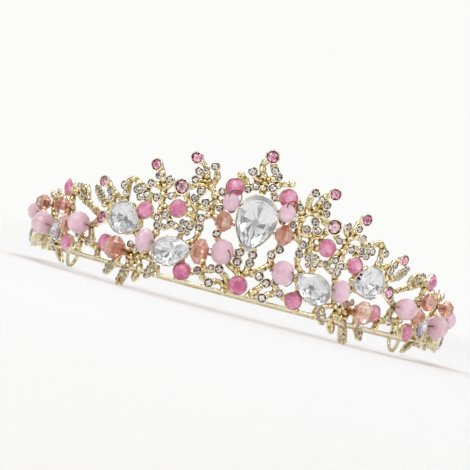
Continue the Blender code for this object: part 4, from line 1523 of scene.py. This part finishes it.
def make_small_stones():
    """The chatons in their cups. A random turn about its own axis sets each one apart."""
    cup = cup_master()
    stone = stone_master()
    clear = chaton_places(both_sides(CENTRE_CHATONS, SIDE_CHATONS), CHATON_BACK, 11, 0.1)
    paved = pave_places(-1) + pave_places(1)
    rubies = chaton_places(both_sides(CENTRE_RUBIES, SIDE_RUBIES), RUBY_BACK, 12, 0.05)
    roses = chaton_places(both_sides([], SIDE_ROSES), ROSE_BACK, 13, 0.05)
    cups = set_on_points("small_cups", clear + paved + rubies + roses, cup, gold, math.tau)
    place_piece(cups, "gold_plate")
    for name, rows, finish, slot, seed in (
        ("clear_chatons", clear, clear_chaton, "clear_crystal", 21),
        ("leaf_chatons", paved, leaf_chaton, "clear_crystal", 24),
        ("ruby_chatons", rubies, ruby_chaton, "rose_glass", 22),
        ("rose_chatons", roses, rose_chaton, "rose_glass", 23),
    ):
        stones = set_on_points(name, rows, stone, finish, math.tau, seed)
        place_piece(stones, slot)
    for spare in (cup, stone):
        bpy.data.objects.remove(spare)


def make_bezels_and_claws():
    bezel = bezel_master()
    claw = claw_master()
    rims = []
    for dome in both_sides(CENTRE_DOMES, SIDE_DOMES):
        centre = on_crown(dome.angle, dome.height, STONE_BACK)
        rims.append((centre, outward(dome.angle), dome.radius))
    bezels = set_on_points("dome_bezels", rims, bezel, gold)
    place_piece(bezels, "gold_plate")
    claws = set_on_points("claws", claw_places(both_sides([CENTRE_CUT], SIDE_CUTS)), claw, gold)
    place_piece(claws, "gold_plate")
    for spare in (bezel, claw):
        bpy.data.objects.remove(spare)


# Studio, in metres


def make_floor():
    mesh = bmesh.new()
    bmesh.ops.create_circle(mesh, cap_ends=True, segments=64, radius=2.0)
    mesh_object("floor", mesh, floor_paint())


def make_world():
    """A pale studio: white to the eye, with brighter and darker stretches for the metal to mirror."""
    world = bpy.data.worlds.new("studio")
    world.use_nodes = True
    bpy.context.scene.world = world
    tree = world.node_tree
    tree.nodes.clear()
    way = add_node(tree, "ShaderNodeTexCoord").outputs["Generated"]
    axes = add_node(tree, "ShaderNodeSeparateXYZ", {"Vector": way})
    lift = add_node(
        tree,
        "ShaderNodeValToRGB",
        {"Fac": axes.outputs["Z"]},
        [(0.0, 0.8), (0.3, 0.9), (0.62, 1.0), (1.0, 1.0)],
    )
    bands = add_node(
        tree,
        "ShaderNodeTexWave",
        {"Vector": way, "Scale": 1.35, "Distortion": 1.6, "Detail": 1.0, "Phase Offset": 1.2},
        bands_direction="X",
    )
    cards = add_node(
        tree,
        "ShaderNodeValToRGB",
        {"Fac": bands.outputs["Fac"]},
        [(0.26, 0.02), (0.38, 0.85), (0.7, 1.0)],
    )
    # inputs 6 and 7 and output 2 are the Mix node's colours
    both = add_node(
        tree,
        "ShaderNodeMix",
        {"Factor": 1.0, 6: lift, 7: cards},
        data_type="RGBA",
        blend_type="MULTIPLY",
    )
    seen = add_node(tree, "ShaderNodeLightPath").outputs["Is Camera Ray"]
    lit = add_node(tree, "ShaderNodeBackground", {"Color": both.outputs[2], "Strength": 1.0})
    white = add_node(tree, "ShaderNodeBackground", {"Color": linear("#FBFBFA")})
    mix = add_node(tree, "ShaderNodeMixShader", {0: seen, 1: lit, 2: white})
    add_node(tree, "ShaderNodeOutputWorld", {"Surface": mix})


def make_lights():
    """A large key softbox up on the left, a fill on the right, one overhead and one behind."""
    aim = Vector((0, -0.02, 0.028))
    for name, place, size, watts in (
        ("key", (-0.7, -1.0, 1.0), 0.4, 5.0),
        ("fill", (1.0, -0.9, 0.45), 0.35, 1.5),
        ("top", (0.1, 0.1, 1.2), 0.5, 3.0),
        ("rim", (-0.3, 1.1, 0.7), 0.4, 2.0),
    ):
        data = bpy.data.lights.new(name, "AREA")
        data.energy = watts
        data.size = size
        lamp = add_object(name, data)
        lamp.location = place
        lamp.rotation_euler = (aim - Vector(place)).to_track_quat("-Z", "Y").to_euler()


def make_camera():
    """In front of the tiara, level, at about half its height, and turned as the photograph is."""
    roll = math.radians(14.85)
    distance = 1.3
    aim = Vector((-0.0052, -0.018, 0.0266))
    back = Vector((0, -1, 0))
    side = Vector((math.cos(roll), 0, math.sin(roll)))
    up = Vector((-math.sin(roll), 0, math.cos(roll)))
    data = bpy.data.cameras.new("camera")
    data.lens = 287.8
    data.sensor_width = 36
    data.clip_end = 20
    camera = add_object("camera", data)
    axes = Matrix((side, up, back)).transposed().to_4x4()
    camera.matrix_world = Matrix.Translation(aim + back * distance) @ axes
    bpy.context.scene.camera = camera
    bpy.context.scene.view_settings.view_transform = "Standard"


gold = gold_plating()
wire = drawn_wire()
copper = copper_wire()
crystal = crystal_glass()
foil = silver_foil("silver_mirror_foil", "#7C7F83", "#F2F4F6")
# each small stone runs from a painted dark reflection through its own colour to a painted glint
clear_chaton = foiled_chaton("clear_foiled_chaton", "#2C1D15", "#A58C7D", "#FFFAF6")
leaf_chaton = foiled_chaton("leaf_foiled_chaton", "#1C140E", "#7E6C5C", "#EEE6DC")
ruby_chaton = foiled_chaton("ruby_foiled_chaton", "#B23A6E", "#EA79A8", "#FFE0EB")
rose_chaton = foiled_chaton("rose_foiled_chaton", "#94596A", "#DE9DAE", "#FFE8ED")
rose = rose_glass()
pale = pale_glass()
peach = peach_glass()
cast_skin = bpy.data.textures.new("cast_skin", "CLOUDS")
cast_skin.noise_scale = SKIN_GRAIN * MM
cast_skin.noise_depth = 1
twigs = twig_tree()
settings = setting_tree()
coils = coil_tree()

make_castings()
make_band()
for side in (-1, 1):
    make_end_loop(side)
    make_binding(side)
for number, cut in enumerate(both_sides([CENTRE_CUT], SIDE_CUTS)):
    make_cut_stone(cut, 30 + number)
for number, dome in enumerate(both_sides(CENTRE_DOMES, SIDE_DOMES)):
    make_dome(dome, 120 + number)
pale_beads = both_sides(CENTRE_PALE, SIDE_PALE)
peach_beads = both_sides(CENTRE_PEACH, SIDE_PEACH)
for number, bead in enumerate(pale_beads):
    make_bead(bead, ringed_corners(bead), pale, "pale_pink_glass", 0.1, 60 + number)
for number, bead in enumerate(peach_beads):
    make_bead(bead, upright_corners(bead), peach, "peach_crystal", 0.06, 90 + number)
thread_runs = thread_paths(pale_beads + peach_beads)
thread_runs += wires_over(CENTRE_PALE[2:], HOOK_ROUTE) + wires_over(CENTRE_PALE[:2], ARCH_ROUTE)
threads = wire_piece("bead_wires", thread_runs, THREAD_RADIUS, copper, roundness=2)
place_piece(threads, "copper_wire")
make_small_stones()
make_bezels_and_claws()
make_floor()
make_world()
make_lights()
make_camera()
